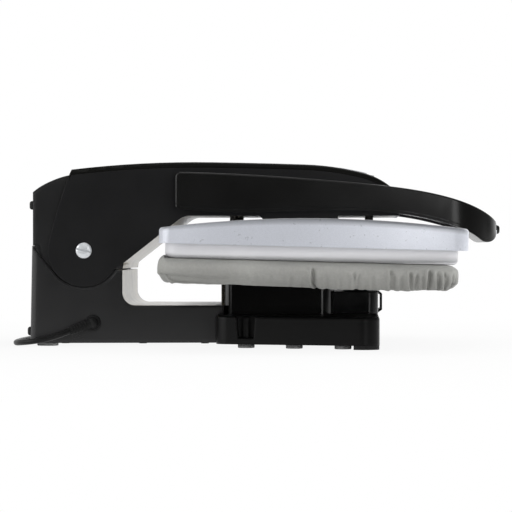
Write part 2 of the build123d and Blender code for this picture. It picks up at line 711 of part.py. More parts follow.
def pedestal_block():
    """Glossy column between tray and board, open in front for the water tank."""
    length = BLOCK_FRONT_X - BLOCK_BACK_X
    plan = RectangleRounded(length, BLOCK_HALF * 2, BLOCK_CORNER)
    middle = (BLOCK_FRONT_X + BLOCK_BACK_X) / 2
    body = extrude(Pos(middle, 0, TRAY_TOP) * plan, amount=STACK_Z - TRAY_TOP)
    body &= core_underside()
    cavity_half = TANK_HALF + SLIDE
    cavity_top = TRAY_TOP + SLIDE + TANK_HEIGHT + SLIDE
    body -= slab(BLOCK_CAVITY_BACK, BLOCK_FRONT_X + 1, -cavity_half, cavity_half, TRAY_TOP - 1, cavity_top)
    body -= slab(BLOCK_BACK_X + WALL, BLOCK_CAVITY_BACK - WALL, -BLOCK_HALF + WALL * 2,
                 BLOCK_HALF - WALL * 2, TRAY_TOP - 1, cavity_top)
    valve_gap = (VALVE_X + BLOCK_CAVITY_BACK) / 2
    body -= Pos(valve_gap, 0, VALVE_Z) * Rot(0, 90, 0) * Cylinder(
        HOSE_RADIUS + FIT, BLOCK_CAVITY_BACK - VALVE_X)
    return body


def core_underside():
    """Everything below the board core, tilted as the pressing stack is."""
    deep = STACK_Z
    return stacked(Pos(0, 0, -PAD_THICKNESS - deep / 2) * Box(SHOE_LENGTH, SHOE_LENGTH, deep))


def tank_valve():
    """Elbow that takes the water from the tank down into the tray."""
    reach = BLOCK_CAVITY_BACK - VALVE_X
    body = Pos(VALVE_X + reach / 2, 0, VALVE_Z) * Rot(0, 90, 0) * Cylinder(HOSE_RADIUS, reach)
    body += post(VALVE_X, 0, HOSE_RADIUS, HOSE_Z, VALVE_Z)
    body += Pos(VALVE_X, 0, VALVE_Z) * Sphere(HOSE_RADIUS)
    body += Pos(VALVE_X, 0, HOSE_Z) * Sphere(HOSE_RADIUS)
    stub = VALVE_STUB
    return body + Pos(VALVE_X - stub / 2, 0, HOSE_Z) * Rot(0, 90, 0) * Cylinder(HOSE_RADIUS, stub)


def tank_solid(inset, z_from, z_to):
    """The tank's body between two heights, drawn in by a wall where it's hollow."""
    back = TANK_FRONT_X - TANK_LENGTH + inset
    front = TANK_FRONT_X - inset
    half = TANK_HALF - inset
    plan = RectangleRounded(front - back, half * 2, max(TANK_CORNER - inset, 1))
    return extrude(Pos((front + back) / 2, 0, z_from) * plan, amount=z_to - z_from)


def water_tank():
    """Smoked tank that slides out of the block, with its filler and its rear outlet."""
    foot = TRAY_TOP + SLIDE
    top = foot + TANK_HEIGHT
    body = tank_solid(0, foot, top)
    body = fillet(body.edges().group_by(Axis.Z)[-1], TANK_WALL / 2)
    body -= tank_solid(TANK_WALL, foot + TANK_WALL, top - TANK_WALL)
    body -= post(TANK_FRONT_X - FILLER_INSET, 0, FILLER_RADIUS, top - TANK_WALL * 2, top + 1)
    back = TANK_FRONT_X - TANK_LENGTH
    step = TANK_HALF - RUNNER_WIDTH * 1.5
    shelf = foot + RUNNER_HEIGHT
    groove = slab(back - 1, BLOCK_FRONT_X, step, TANK_HALF + 1, foot - 1, shelf)
    front = BLOCK_FRONT_X + TANK_WALL
    rail_wall = slab(back + TANK_WALL / 2, front, step - TANK_WALL, step, foot, shelf + TANK_WALL)
    rail_roof = slab(back + TANK_WALL / 2, front, step - TANK_WALL, TANK_HALF - TANK_WALL / 2,
                     shelf, shelf + TANK_WALL)
    rail_end = slab(BLOCK_FRONT_X, front, step - TANK_WALL, TANK_HALF - TANK_WALL / 2, foot, shelf + TANK_WALL)
    body += both_sides(rail_wall + rail_roof + rail_end)
    body -= both_sides(groove)
    spout_from = BLOCK_CAVITY_BACK + SLIDE
    spout_to = TANK_FRONT_X - TANK_LENGTH + TANK_WALL / 2
    spout = Pos((spout_from + spout_to) / 2, 0, VALVE_Z) * Rot(0, 90, 0) * Cylinder(
        HOSE_RADIUS, spout_to - spout_from)
    return body + spout


def tank_pull():
    """Thin loop on the front of the tank, for the fingers."""
    foot = TRAY_TOP + SLIDE
    top = foot + TANK_HEIGHT
    reach = TANK_FRONT_X + PULL_REACH
    slant = PULL_REACH * 0.7
    outer = make_face(Polyline((TANK_FRONT_X, foot), (reach, foot + slant), (reach, top - slant),
                               (TANK_FRONT_X, top), (TANK_FRONT_X, foot)))
    wall = PULL_THICKNESS
    inner = make_face(Polyline((TANK_FRONT_X, foot + wall * 1.4), (reach - wall, foot + slant + wall / 2),
                               (reach - wall, top - slant - wall / 2), (TANK_FRONT_X, top - wall * 1.4),
                               (TANK_FRONT_X, foot + wall * 1.4)))
    return across(outer - inner, -PULL_HALF, PULL_HALF)


def tank_stopper():
    """Rubber stopper in the tank's filler."""
    top = TRAY_TOP + SLIDE + TANK_HEIGHT
    plug = post(TANK_FRONT_X - FILLER_INSET, 0, FILLER_RADIUS - AXLE_CLEARANCE, top - TANK_WALL * 2, top)
    flange = post(TANK_FRONT_X - FILLER_INSET, 0, FILLER_RADIUS + 2, top, top + STOPPER_FLANGE)
    middle = TANK_FRONT_X - FILLER_INSET
    tab = slab(middle, middle + FILLER_RADIUS + TAB_HALF, -TAB_HALF, TAB_HALF,
               top + STOPPER_FLANGE / 2, top + STOPPER_FLANGE * 1.5)
    return plug + flange + tab


def tank_runners():
    """Two rails on the tray that the tank slides along."""
    rail = slab(BLOCK_CAVITY_BACK, BLOCK_FRONT_X, TANK_HALF - RUNNER_WIDTH * 1.5 + SLIDE,
                TANK_HALF - SLIDE, TRAY_TOP, TRAY_TOP + RUNNER_HEIGHT + SLIDE / 2)
    return both_sides(rail)


def blunt_plan(width, length, inset):
    """Plan of the pressing pieces: blunt bowed near end, straight sides, tapered far nose."""
    half = width / 2 - inset
    near = -length / 2 + inset
    far = length / 2 - inset
    shoulder = far - TAPER_LENGTH
    nose_y = far - NOSE_DEPTH
    nose = NOSE_HALF - inset * 0.6
    corner_y = near + NEAR_BULGE
    corner = NEAR_CORNER
    bow = ThreePointArc((-half + corner, corner_y), (0, near), (half - corner, corner_y))
    left_way = bow.tangent_at(0) * -1
    right_way = bow.tangent_at(1)
    right_side = (half, corner_y + corner)
    left_side = (-half, corner_y + corner)
    nose_back_way = Vector(NOSE_WAY.X, -NOSE_WAY.Y)
    return outline(
        bow,
        *biarc(Vector(half - corner, corner_y), right_way, Vector(*right_side), Vector(0, 1)),
        Line(right_side, (half, shoulder)),
        *biarc(Vector(half, shoulder), Vector(0, 1), Vector(nose, nose_y), NOSE_WAY),
        *biarc(Vector(nose, nose_y), NOSE_WAY, Vector(0, far), Vector(-1, 0)),
        *biarc(Vector(0, far), Vector(-1, 0), Vector(-nose, nose_y), nose_back_way),
        *biarc(Vector(-nose, nose_y), nose_back_way, Vector(-half, shoulder), Vector(0, -1)),
        Line((-half, shoulder), left_side),
        *biarc(Vector(*left_side), Vector(0, -1), Vector(-half + corner, corner_y), left_way * -1),
    )


def press_slab(width, length, inset, centre, w_from, w_to):
    """A flat piece of the pressing stack, before it's pitched; w is height over the pad's top."""
    return extrude(Pos(centre, 0, w_from) * blunt_plan(width, length, inset), amount=w_to - w_from)


def board_core():
    """Ribbed board inside the pad, screwed to the pedestal block."""
    foot = -PAD_THICKNESS
    body = press_slab(PAD_WIDTH, PAD_LENGTH, CORE_INSET, PAD_CENTRE, foot, foot + CORE_THICKNESS)
    pocket = press_slab(PAD_WIDTH, PAD_LENGTH, CORE_INSET + WALL, PAD_CENTRE, foot - 1,
                        foot + CORE_THICKNESS - WALL)
    pocket -= Pos(BLOCK_MIDDLE - STACK_X, 0, foot) * Box(
        BLOCK_FRONT_X - BLOCK_BACK_X, BLOCK_HALF * 2, CORE_THICKNESS * 2)
    for x in (-0.25, 0.25):
        pocket -= Pos(PAD_CENTRE + x * PAD_WIDTH, 0, foot) * Box(CORE_RIB, PAD_LENGTH, CORE_THICKNESS * 2)
    for y in range(-3, 4):
        pocket -= Pos(PAD_CENTRE, y * PAD_LENGTH / 7.5, foot) * Box(PAD_WIDTH, CORE_RIB, CORE_THICKNESS * 2)
    return stacked(body - pocket)


def board_pad():
    """Padded cover over the core: rounded sides drawn in underneath, with its gathers at the near end."""
    body = press_slab(PAD_WIDTH, PAD_LENGTH, 0, PAD_CENTRE, -PAD_THICKNESS, 0)
    body = fillet(body.edges().group_by(Axis.Z)[-1], PAD_TOP_ROUND)
    body = fillet(body.edges().group_by(Axis.Z)[0], PAD_BOTTOM_ROUND)
    body -= press_slab(PAD_WIDTH, PAD_LENGTH, CORE_INSET - PAD_CLEARANCE, PAD_CENTRE,
                       -PAD_THICKNESS - 1, -PAD_THICKNESS + CORE_THICKNESS + PAD_CLEARANCE)
    return stacked(body)


def hanger_places():
    """Where the four hangers stand, in the pressing stack's own X and Y."""
    return [(x - STACK_X, side * HANGER_HALF) for x in (HANGER_BACK_X, HANGER_FRONT_X) for side in (-1, 1)]


def heating_plate():
    """Cast plate: rounded lower edge, rim, steam ribs, hanger bosses and its rows of steam holes."""
    foot = PAD_CLEARANCE
    top = foot + SHOE_THICKNESS
    floor = foot + SHOE_FLOOR
    body = press_slab(SHOE_WIDTH, SHOE_LENGTH, 0, SHOE_CENTRE, foot, top)
    body = fillet(body.edges().group_by(Axis.Z)[0], SHOE_EDGE)
    body -= press_slab(SHOE_WIDTH, SHOE_LENGTH, SHOE_RIM, SHOE_CENTRE, floor, top + 1)
    for u, v in hanger_places():
        body += post(u, v, HANGER_BOSS_RADIUS, floor - 1, top)
    chamber = Pos(CHAMBER_U, 0, floor + CHAMBER_HEIGHT / 2)
    ribs = Box(CHAMBER_WIDTH, CHAMBER_LENGTH, CHAMBER_HEIGHT)
    ribs -= Box(CHAMBER_WIDTH - CHAMBER_RIB * 2, CHAMBER_LENGTH - CHAMBER_RIB * 2, CHAMBER_HEIGHT)
    baffle = CHAMBER_WIDTH * 0.7
    for number in range(VENT_ROWS - 1):
        v = (number - VENT_ROWS / 2 + 1) * VENT_ROW_PITCH
        u = (-1) ** number * (CHAMBER_WIDTH - baffle) / 2
        ribs += Pos(u, v, 0) * Box(baffle, CHAMBER_RIB, CHAMBER_HEIGHT)
    body += chamber * ribs
    for number in range(VENT_ROWS):
        v = (number - (VENT_ROWS - 1) / 2) * VENT_ROW_PITCH
        for column in range(VENT_COLUMNS):
            u = SHOE_CENTRE + (column - (VENT_COLUMNS - 1) / 2) * VENT_COLUMN_PITCH
            body -= post(u, v, VENT_HOLE_RADIUS, foot - 1, floor + 1)
    return stacked(body)


def chamber_lid():
    """Plate that closes the steam chamber cast in the heating plate."""
    foot = PAD_CLEARANCE + SHOE_FLOOR + CHAMBER_HEIGHT
    lid = Box(CHAMBER_WIDTH, CHAMBER_LENGTH, CHAMBER_LID)
    return stacked(Pos(CHAMBER_U, 0, foot + CHAMBER_LID / 2) * lid)


def heating_element():
    """Tubular heater bent in a U round the steam chamber, with its two terminals turned up."""
    w = PAD_CLEARANCE + SHOE_FLOOR + ELEMENT_RADIUS + AXLE_CLEARANCE
    reach = CHAMBER_WIDTH / 2 + ELEMENT_RADIUS + ELEMENT_GAP
    near = -CHAMBER_LENGTH / 2
    far = CHAMBER_LENGTH / 2 + reach
    left = CHAMBER_U - reach
    right = CHAMBER_U + reach
    path = FilletPolyline((left, near, w + TERMINAL_RISE), (left, near, w), (left, far, w), (right, far, w),
                          (right, near, w), (right, near, w + TERMINAL_RISE),
                          radius=[ELEMENT_RADIUS * 2.5, reach * 0.9, reach * 0.9, ELEMENT_RADIUS * 2.5])
    return stacked(tube(path, ELEMENT_RADIUS))


def thermostat():
    """Capped disc thermostat with two tabs, on the chamber lid."""
    w = PAD_CLEARANCE + SHOE_FLOOR + CHAMBER_HEIGHT + CHAMBER_LID
    body = post(CHAMBER_U, THERMOSTAT_Y, THERMOSTAT_RADIUS, w, w + THERMOSTAT_HEIGHT)
    body += post(CHAMBER_U, THERMOSTAT_Y, THERMOSTAT_RADIUS * 1.2, w, w + 1)
    for side in (-1, 1):
        u = CHAMBER_U + side * THERMOSTAT_RADIUS / 2
        body += Pos(u, THERMOSTAT_Y, w + THERMOSTAT_HEIGHT + 2) * Box(0.8, 6, 6)
    return stacked(body)


def thermal_fuse():
    """Cylindrical fuse in its saddle beside the thermostat."""
    w = PAD_CLEARANCE + SHOE_FLOOR + CHAMBER_HEIGHT + CHAMBER_LID
    body = Pos(CHAMBER_U, -THERMOSTAT_Y, w + FUSE_RADIUS + 1) * Rot(90, 0, 0) * Cylinder(
        FUSE_RADIUS, FUSE_RADIUS * 8)
    body += Pos(CHAMBER_U, -THERMOSTAT_Y, w + FUSE_RADIUS / 2) * Box(
        FUSE_RADIUS * 3, FUSE_RADIUS * 3, FUSE_RADIUS)
    return stacked(body)


def lid_body(inset, w_seam):
    """The plate cover's arched block, drawn in by an inset on every face but its open underside."""
    half = LID_WIDTH / 2
    arch_foot = PAD_CLEARANCE + SHOE_THICKNESS - inset
    arch = make_face(
        Polyline((half, arch_foot + LID_FRONT_RISE), (half, w_seam - 1), (-half, w_seam - 1),
                 (-half, arch_foot + LID_BACK_RISE))
        + ThreePointArc((-half, arch_foot + LID_BACK_RISE), (LID_CROWN_AT, arch_foot + LID_CROWN),
                        (half, arch_foot + LID_FRONT_RISE)))
    arched = Pos(LID_CENTRE, 0, 0) * across(arch, -LID_LENGTH, LID_LENGTH)
    plan = press_slab(LID_WIDTH, LID_LENGTH, inset, LID_CENTRE, w_seam, w_seam + LID_CROWN * 2)
    return arched & plan


def plate_cover():
    """Silver cover over the heating plate: arched top, rounded edge, and a flange on the plate's rim."""
    seam = PAD_CLEARANCE + SHOE_THICKNESS
    body = lid_body(0, seam)
    top = body.faces().sort_by(Axis.Z)[-1]
    body = fillet(top.edges(), LID_EDGE)
    body -= lid_body(LID_WALL, seam - 1)
    flange = press_slab(LID_WIDTH, LID_LENGTH, LID_WALL / 2, LID_CENTRE, seam, seam + LID_WALL)
    flange -= press_slab(SHOE_WIDTH, SHOE_LENGTH, SHOE_RIM, SHOE_CENTRE, seam - 1, seam + LID_WALL + 1)
    body += flange
    for u, v in hanger_places():
        body -= post(u, v, HANGER_RADIUS + HANGER_HOLE_GAP, seam + LID_WALL + 1, seam + LID_CROWN * 2)
    return stacked(body)


def plate_hangers():
    """Four posts that carry the heated plate from the arm's frame."""
    foot = PAD_CLEARANCE + SHOE_THICKNESS
    posts = [post(u, v, HANGER_RADIUS, foot, FRAME_DECK) for u, v in hanger_places()]
    below_deck = Pos(STACK_X, 0, FRAME_DECK / 2) * Box(SHOE_LENGTH, SHOE_LENGTH, FRAME_DECK)
    return Compound(children=[(stacked(piece) & below_deck).solid() for piece in posts])


def arm_profile():
    """Side of the arm: round cheeks, leaning rear edge, long low crown, slanted and stepped underside."""
    hub_front = about_pivot(HUB_RADIUS, 329)
    hub_back = about_pivot(HUB_RADIUS, 172)
    rear_middle = (PIVOT_X + REAR_MIDDLE[0], PIVOT_Z + REAR_MIDDLE[1])
    front_top = (ARM_FRONT_X, ARM_TOP_Z - CROWN_DROPS[0][1])
    crown = [(ARM_FRONT_X + x, ARM_TOP_Z - drop) for x, drop in CROWN_DROPS]
    crown_edges = tangent_chain(crown, Vector(0, 1))
    step_z = ARM_UNDERSIDE - ARM_STEP
    under = [(ARM_SLANT_X - ARM_BEND, ARM_UNDERSIDE), (-ARM_STEP, ARM_UNDERSIDE), (0, step_z),
             (ARM_STEP_X, step_z), (ARM_STEP_X, ARM_UNDERSIDE), (ARM_FRONT_X, ARM_UNDERSIDE), front_top]
    slant_top = (ARM_SLANT_X - ARM_BEND * 2, ARM_UNDERSIDE - ARM_BEND * 0.3)
    slant_foot = (COLUMN_FRONT_X + SLIDE * 2.5, COLUMN_TOP + SLANT_FOOT_RISE)
    slant_way = (Vector(*slant_top) - Vector(*slant_foot)).normalized()
    return outline(
        ThreePointArc(hub_back, about_pivot(HUB_RADIUS, 250), hub_front),
        Edge.make_tangent_arc(Vector(*slant_foot), slant_way * -1, Vector(*hub_front)),
        Line(slant_foot, slant_top),
        Edge.make_tangent_arc(Vector(*slant_top), slant_way, Vector(*under[0])),
        *[Line(a, b) for a, b in zip(under, under[1:])],
        *crown_edges,
        ThreePointArc(crown[-1], rear_middle, hub_back),
    )


def liner_strip():
    """Side view of the cream liner under the arm."""
    face = arm_profile()
    core = Pos(0, LINER_THICKNESS) * face
    for way in (-1, 1):
        core &= Pos(way * LINER_THICKNESS, LINER_THICKNESS) * face
    reach = window(COLUMN_FRONT_X, ARM_FRONT_X - WALL, COLUMN_TOP, ARM_UNDERSIDE + LINER_THICKNESS)
    return (face - core) & reach


def arm_hull():
    """The arm's outside as one block, with its rounded top edges."""
    body = across(arm_profile(), -SIDE, SIDE)

    def on_crown(edge):
        middle = edge.center()
        on_side = abs(middle.Y) > INNER_SIDE
        above = middle.Z > ARM_TOP_Z - HANDLE_DEPTH
        return on_side and (above or middle.X > ARM_FRONT_X - 1) and middle.X > PIVOT_X

    return fillet(body.edges().filter_by(on_crown), ARM_EDGE)


def arm_hollow():
    """The space inside the arm: open round the hinge and where the liner closes it."""
    face = offset(arm_profile(), -WALL)
    sweep_room = Pos(PIVOT_X, PIVOT_Z) * Circle(COVER_RADIUS + SLIDE * 3)
    half = INNER_SIDE
    hollow = across(face, -half, half)
    hollow += across(liner_strip(), -half, half)
    return hollow + across(sweep_room, -half, half)


def top_band():
    """Side view of the arm's top cover."""
    face = arm_profile()
    lowered = Pos(0, -ARM_BAND) * face
    reach = window(PIVOT_X - 15, ARM_FRONT_X + 1, ARM_TOP_Z - HANDLE_DEPTH, ARM_TOP_Z + 1)
    return (face - lowered) & reach


def panel_place(height):
    """Carries a control, drawn over the panel's middle, onto the arm's sloping top."""
    return Pos(PANEL_X, 0, PANEL_Z) * Rot(0, PANEL_SLOPE, 0) * Pos(0, 0, height)


def panel_recess(extra, z_from, z_to):
    """The panel's rounded outline as a block, measured down from the panel's top."""
    plan = RectangleRounded(PANEL_LENGTH + extra * 2, PANEL_WIDTH + extra * 2, BUTTON_HEIGHT * 2 + extra)
    return panel_place(z_from) * extrude(plan, amount=z_to - z_from)


def control_hole(y, length, width, z_from, z_to):
    """A rounded block through the panel at one control's place."""
    plan = RectangleRounded(length, width, BUTTON_HEIGHT)
    return panel_place(z_from) * Pos(0, y, 0) * extrude(plan, amount=z_to - z_from)


def control_openings():
    """Everything that the controls pass through, in the panel and in the top cover's recess."""
    deep = -PANEL_THICKNESS - WALL * 2
    spindle = DIAL_RADIUS / 4 + AXLE_CLEARANCE
    gap = FIT
    cuts = panel_place(deep / 2) * Cylinder(spindle, -deep * 2)
    for side in (-1, 1):
        cuts += control_hole(side * CONTROL_PITCH, BUTTON_LENGTH + gap * 2, BUTTON_WIDTH + gap * 2, deep, 1)
    return cuts


def arm_shell():
    """Side walls, cheeks and front end of the arm, with the pivots' holes."""
    body = arm_hull() - arm_hollow() - across(top_band(), -SIDE - 1, SIDE + 1)
    body -= cross_rod(PIVOT_X, PIVOT_Z, AXLE_RADIUS + BUSH_WALL, -SIDE - 1, SIDE + 1)
    body -= cross_rod(HANDLE_PIVOT_X, HANDLE_PIVOT_Z, HANDLE_PIN_RADIUS, -SIDE - 1, SIDE + 1)
    return body


def arm_top_cover():
    """Long low top of the arm, with the recess for the control panel."""
    body = (arm_hull() - arm_hollow()) & across(top_band(), -SIDE - 1, SIDE + 1)
    under = across(arm_profile() & window(0, ARM_FRONT_X, ARM_UNDERSIDE, ARM_TOP_Z), -SIDE, SIDE)
    pan = panel_recess(WALL, -PANEL_THICKNESS - WALL, -PANEL_THICKNESS / 2) & under
    body += pan
    body -= panel_recess(FIT, -PANEL_THICKNESS, WALL * 2)
    for x, y in board_posts():
        body += panel_place(-PANEL_THICKNESS - WALL - BOARD_DROP) * post(x, y, WALL, 0, BOARD_DROP + 1)
    return body - control_openings()


def arm_liner():
    """Cream underside of the arm, slanted over the throat and flat over the plate."""
    body = across(liner_strip(), -INNER_SIDE + FIT, INNER_SIDE - FIT)
    for u, v in hanger_places():
        hole = post(u, v, HANGER_RADIUS + HANGER_HOLE_GAP, 0, ARM_TOP_Z)
        body -= stacked(hole)
    return body


def hinge_bushes():
    """Plain bushes in the cheeks that turn on the axle."""
    bush = cross_rod(PIVOT_X, PIVOT_Z, AXLE_RADIUS + BUSH_WALL, INNER_SIDE, SIDE)
    bush -= cross_rod(PIVOT_X, PIVOT_Z, AXLE_RADIUS + AXLE_CLEARANCE, INNER_SIDE - 1, SIDE + 1)
    return both_sides(bush)


def arm_frame():
    """Steel frame inside the arm: two side plates that take the handle's pins, and a deck between."""
    tail = (COLUMN_FRONT_X + HANDLE_PIN_RADIUS, COLUMN_TOP + FRAME_TAIL)
    bend_x = ARM_SLANT_X - ARM_BEND * 1.9
    head_z = HANDLE_PIVOT_Z + HANDLE_PIN_RADIUS * 1.7
    clear_angle = COVER_FRONT_ANGLE - ARM_OPENING - FRAME_SPARE
    past_cover = about_pivot(COVER_RADIUS + SLIDE * 4, clear_angle)
    tail_top = (tail[0], PIVOT_Z + (tail[0] - PIVOT_X) * tan(radians(clear_angle)))
    side = make_face(Polyline(
        tail, (bend_x, FRAME_DECK), (FRAME_FRONT_X, FRAME_DECK), (FRAME_FRONT_X, FRAME_DECK + FRAME_BAND),
        (HANDLE_PIVOT_X + HANDLE_PIN_RADIUS * 3, head_z), (HANDLE_PIVOT_X - HANDLE_PIN_RADIUS * 3, head_z),
        past_cover, tail_top, tail))
    outer = INNER_SIDE - FIT
    body = both_sides(across(side, outer - FRAME_THICKNESS, outer))
    body += slab(ARM_SLANT_X - ARM_BEND, FRAME_FRONT_X, -outer, outer, FRAME_DECK, FRAME_DECK + FRAME_THICKNESS)
    return body - cross_rod(HANDLE_PIVOT_X, HANDLE_PIVOT_Z, HANDLE_PIN_RADIUS, -SIDE, SIDE)


def board_posts():
    """Where the control board's four posts stand under the panel."""
    half_length = PANEL_LENGTH / 2 - BOARD_POST_INSET
    half_width = PANEL_WIDTH / 2 - BOARD_POST_INSET
    return [(x * half_length, y * half_width) for x in (-1, 1) for y in (-1, 1)]


def control_board():
    """Printed board under the panel with its relay and terminal block."""
    top = -PANEL_THICKNESS - WALL - BOARD_DROP
    body = panel_place(top - BOARD_THICKNESS / 2) * Box(PANEL_LENGTH, PANEL_WIDTH, BOARD_THICKNESS)
    for size, place in ((RELAY, RELAY_PLACE), (TERMINALS, TERMINALS_PLACE)):
        body += panel_place(top - BOARD_THICKNESS - size[2] / 2) * Pos(*place) * Box(*size)
    return body


def control_panel():
    """Smooth inlay in the arm's top round the controls."""
    body = panel_recess(0, -PANEL_THICKNESS, 0)
    for side in (-1, 1):
        body -= panel_place(-PANEL_THICKNESS) * post(LAMP_X, side * LAMP_Y, LAMP_RADIUS, -1, PANEL_THICKNESS + 1)
    return body - control_openings()


def lamp_lenses():
    """Clear lenses of the power and ready lamps."""
    lenses = []
    for side in (-1, 1):
        lens = post(LAMP_X, side * LAMP_Y, LAMP_RADIUS, 0, PANEL_THICKNESS + LAMP_PROUD)
        lenses.append(panel_place(-PANEL_THICKNESS) * lens)
    return Compound(children=lenses)


def temperature_dial():
    """Ribbed dial with its spindle through the panel."""
    rim = Circle(DIAL_RADIUS)
    for number in range(DIAL_RIBS):
        angle = 360 / DIAL_RIBS * number
        rim -= Rot(0, 0, angle) * Pos(DIAL_RADIUS + DIAL_GROOVE / 3, 0) * Circle(DIAL_GROOVE)
    body = panel_place(FIT) * extrude(rim, amount=DIAL_HEIGHT)
    mark = Box(DIAL_RADIUS * 0.8, DIAL_GROOVE * 2, DIAL_GROOVE)
    pointer = panel_place(FIT + DIAL_HEIGHT) * Pos(-DIAL_RADIUS / 2, 0, 0) * mark
    spindle_length = PANEL_THICKNESS + WALL + FIT * 2
    spindle = panel_place(FIT - spindle_length / 2) * Cylinder(DIAL_RADIUS / 4, spindle_length)
    return body - pointer + spindle


def panel_button(side):
    """One of the two flush buttons beside the dial."""
    body = control_hole(side * CONTROL_PITCH, BUTTON_LENGTH, BUTTON_WIDTH, -PANEL_THICKNESS, BUTTON_HEIGHT)
    return fillet(body.edges().sort_by(Axis.Z)[-8:], 0.5)


def handle_profile():
    """Side of the handle: deep at the pivot, thinning and drooping towards the grip."""
    tip = HANDLE_TIP_X
    top = HANDLE_TOP_Z
    back = HANDLE_BACK_X
    corner = HANDLE_CORNER
    foot_corner = corner / 2
    upper = [(back + corner, top)] + [(tip + x, top - drop) for x, drop in HANDLE_TOP_DROPS]
    lower = [(tip + x, top - drop) for x, drop in HANDLE_FOOT_DROPS]
    lower.append((back + foot_corner, top - HANDLE_DEPTH))
    nose_foot = (tip, STEAM_BUTTON_Z - STEAM_BUTTON_HEIGHT / 2 - RING_WALL * 0.5)
    return outline(
        Spline(*upper, tangents=((1, -0.02), (0.75, -1))),
        Line(upper[-1], nose_foot),
        ThreePointArc(nose_foot, (tip + CHIN[0], top - CHIN[1]), lower[0]),
        Spline(*lower),
        Line(lower[-1], (back, top - HANDLE_DEPTH + foot_corner)),
        Line((back, top - HANDLE_DEPTH + foot_corner), (back, top - corner)),
        Edge.make_tangent_arc(Vector(back, top - corner), Vector(0, 1), Vector(back + corner, top)),
    )


def handle_plan():
    """Plan of the handle: two side plates joined by the grip round an open finger loop."""
    outer = SIDE + SLIDE + HANDLE_WALL
    inner = SIDE + SLIDE
    back = HANDLE_BACK_X - 1
    tip = HANDLE_TIP_X
    loop = HANDLE_TIP_X - GRIP_WIDTH
    front = make_face(Polyline((back, -outer), (tip, -outer), (tip, outer), (back, outer), (back, -outer)))
    front = fillet(front.vertices().sort_by(Axis.X)[-2:], GRIP_CORNER)
    gap = make_face(Polyline((back - 1, -inner), (loop, -inner), (loop, inner), (back - 1, inner),
                             (back - 1, -inner)))
    gap = fillet(gap.vertices().sort_by(Axis.X)[-2:], LOOP_CORNER)
    return extrude(front - gap, amount=ARM_TOP_Z)


def button_block(extra, x_from, x_to):
    """The steam button's rounded outline, drawn along X through the grip's front."""
    plan = RectangleRounded(STEAM_BUTTON_LENGTH + extra * 2, STEAM_BUTTON_HEIGHT + extra * 2,
                            STEAM_BUTTON_HEIGHT / 2 + extra - 0.05)
    face = Plane(origin=(x_from, 0, STEAM_BUTTON_Z), x_dir=(0, 1, 0), z_dir=(1, 0, 0)) * plan
    return extrude(face, amount=x_to - x_from)


def handle_blank():
    """The handle's outside, with its outer edges rounded along the top and the back."""
    outer = SIDE + SLIDE + HANDLE_WALL
    depth = across(handle_profile(), -outer, outer)
    body = depth & handle_plan()

    def on_rim(edge):
        middle = edge.center()
        upright = abs((edge % 0.5).Z) > 0.9 and middle.X > HANDLE_BACK_X + 1
        across_grip = edge.bounding_box().size.Y > outer
        outside = abs(middle.Y) > outer - FIT or middle.X > HANDLE_TIP_X - GRIP_WIDTH + 1
        return outside and not upright and not across_grip and edge.length > HANDLE_CORNER

    def at_top(edge):
        middle = edge.center()
        return depth.is_inside(Vector(middle.X + 1, 0, middle.Z - HANDLE_LIP))

    return fillet(body.edges().filter_by(on_rim).filter_by(at_top), HANDLE_EDGE)


def handle_block():
    """Both mouldings of the handle together, with the pivot bores and the button's well."""
    outer = SIDE + SLIDE + HANDLE_WALL
    body = handle_blank()
    bore = cross_rod(HANDLE_PIVOT_X, HANDLE_PIVOT_Z, HANDLE_PIN_RADIUS + AXLE_CLEARANCE,
                     SIDE, outer - WALL + FIT)
    body -= both_sides(bore)
    return body - button_block(RING_WALL, HANDLE_TIP_X - WELL_DEPTH, HANDLE_TIP_X + 1)


def handle_lip_band(shift):
    """Everything above the handle's lower moulding."""
    outer = SIDE + SLIDE + HANDLE_WALL
    return across(Pos(0, shift) * handle_profile(), -outer - 1, outer + 1)


def handle_upper():
    """Glossy upper moulding of the handle."""
    return handle_block() & handle_lip_band(HANDLE_LIP + FIT)


def handle_lower():
    """Narrow lower moulding that closes the handle from below."""
    return handle_block() - handle_lip_band(HANDLE_LIP)


def handle_pins():
    """Steel pins from the arm's frame, on which the handle turns."""
    outer = SIDE + SLIDE + HANDLE_WALL
    inner = INNER_SIDE - FIT - FRAME_THICKNESS
    pin = cross_rod(HANDLE_PIVOT_X, HANDLE_PIVOT_Z, HANDLE_PIN_RADIUS, inner - 2, outer - WALL)
    pin += cross_rod(HANDLE_PIVOT_X, HANDLE_PIVOT_Z, HANDLE_PIN_RADIUS + 3, inner - 4, inner)
    return both_sides(pin)


def button_ring():
    """Chrome ring round the steam button."""
    ring = button_block(RING_WALL, HANDLE_TIP_X - WELL_DEPTH, HANDLE_TIP_X + RING_PROUD)
    rim = ring.faces().sort_by(Axis.X)[-1]
    ring = fillet(rim.edges(), RING_WALL / 2)
    return ring - button_block(FIT, HANDLE_TIP_X - WELL_DEPTH - 1, HANDLE_TIP_X + RING_PROUD + 1)


def steam_button():
    """Push button in the grip's front that gives the shot of steam."""
    back = HANDLE_TIP_X - WELL_DEPTH + STEAM_BUTTON_TRAVEL + 1
    front = HANDLE_TIP_X + STEAM_BUTTON_PROUD
    button = button_block(0, back, front)
    return fillet(button.faces().sort_by(Axis.X)[-1].edges(), 1.2)


def boot_tip():
    """Where the cord leaves the boot."""
    start = Vector(GLAND_X, -SIDE - GLAND_PROUD, GLAND_Z)
    return start + BOOT_WAY * (GLAND_SHANK + BOOT_LENGTH)


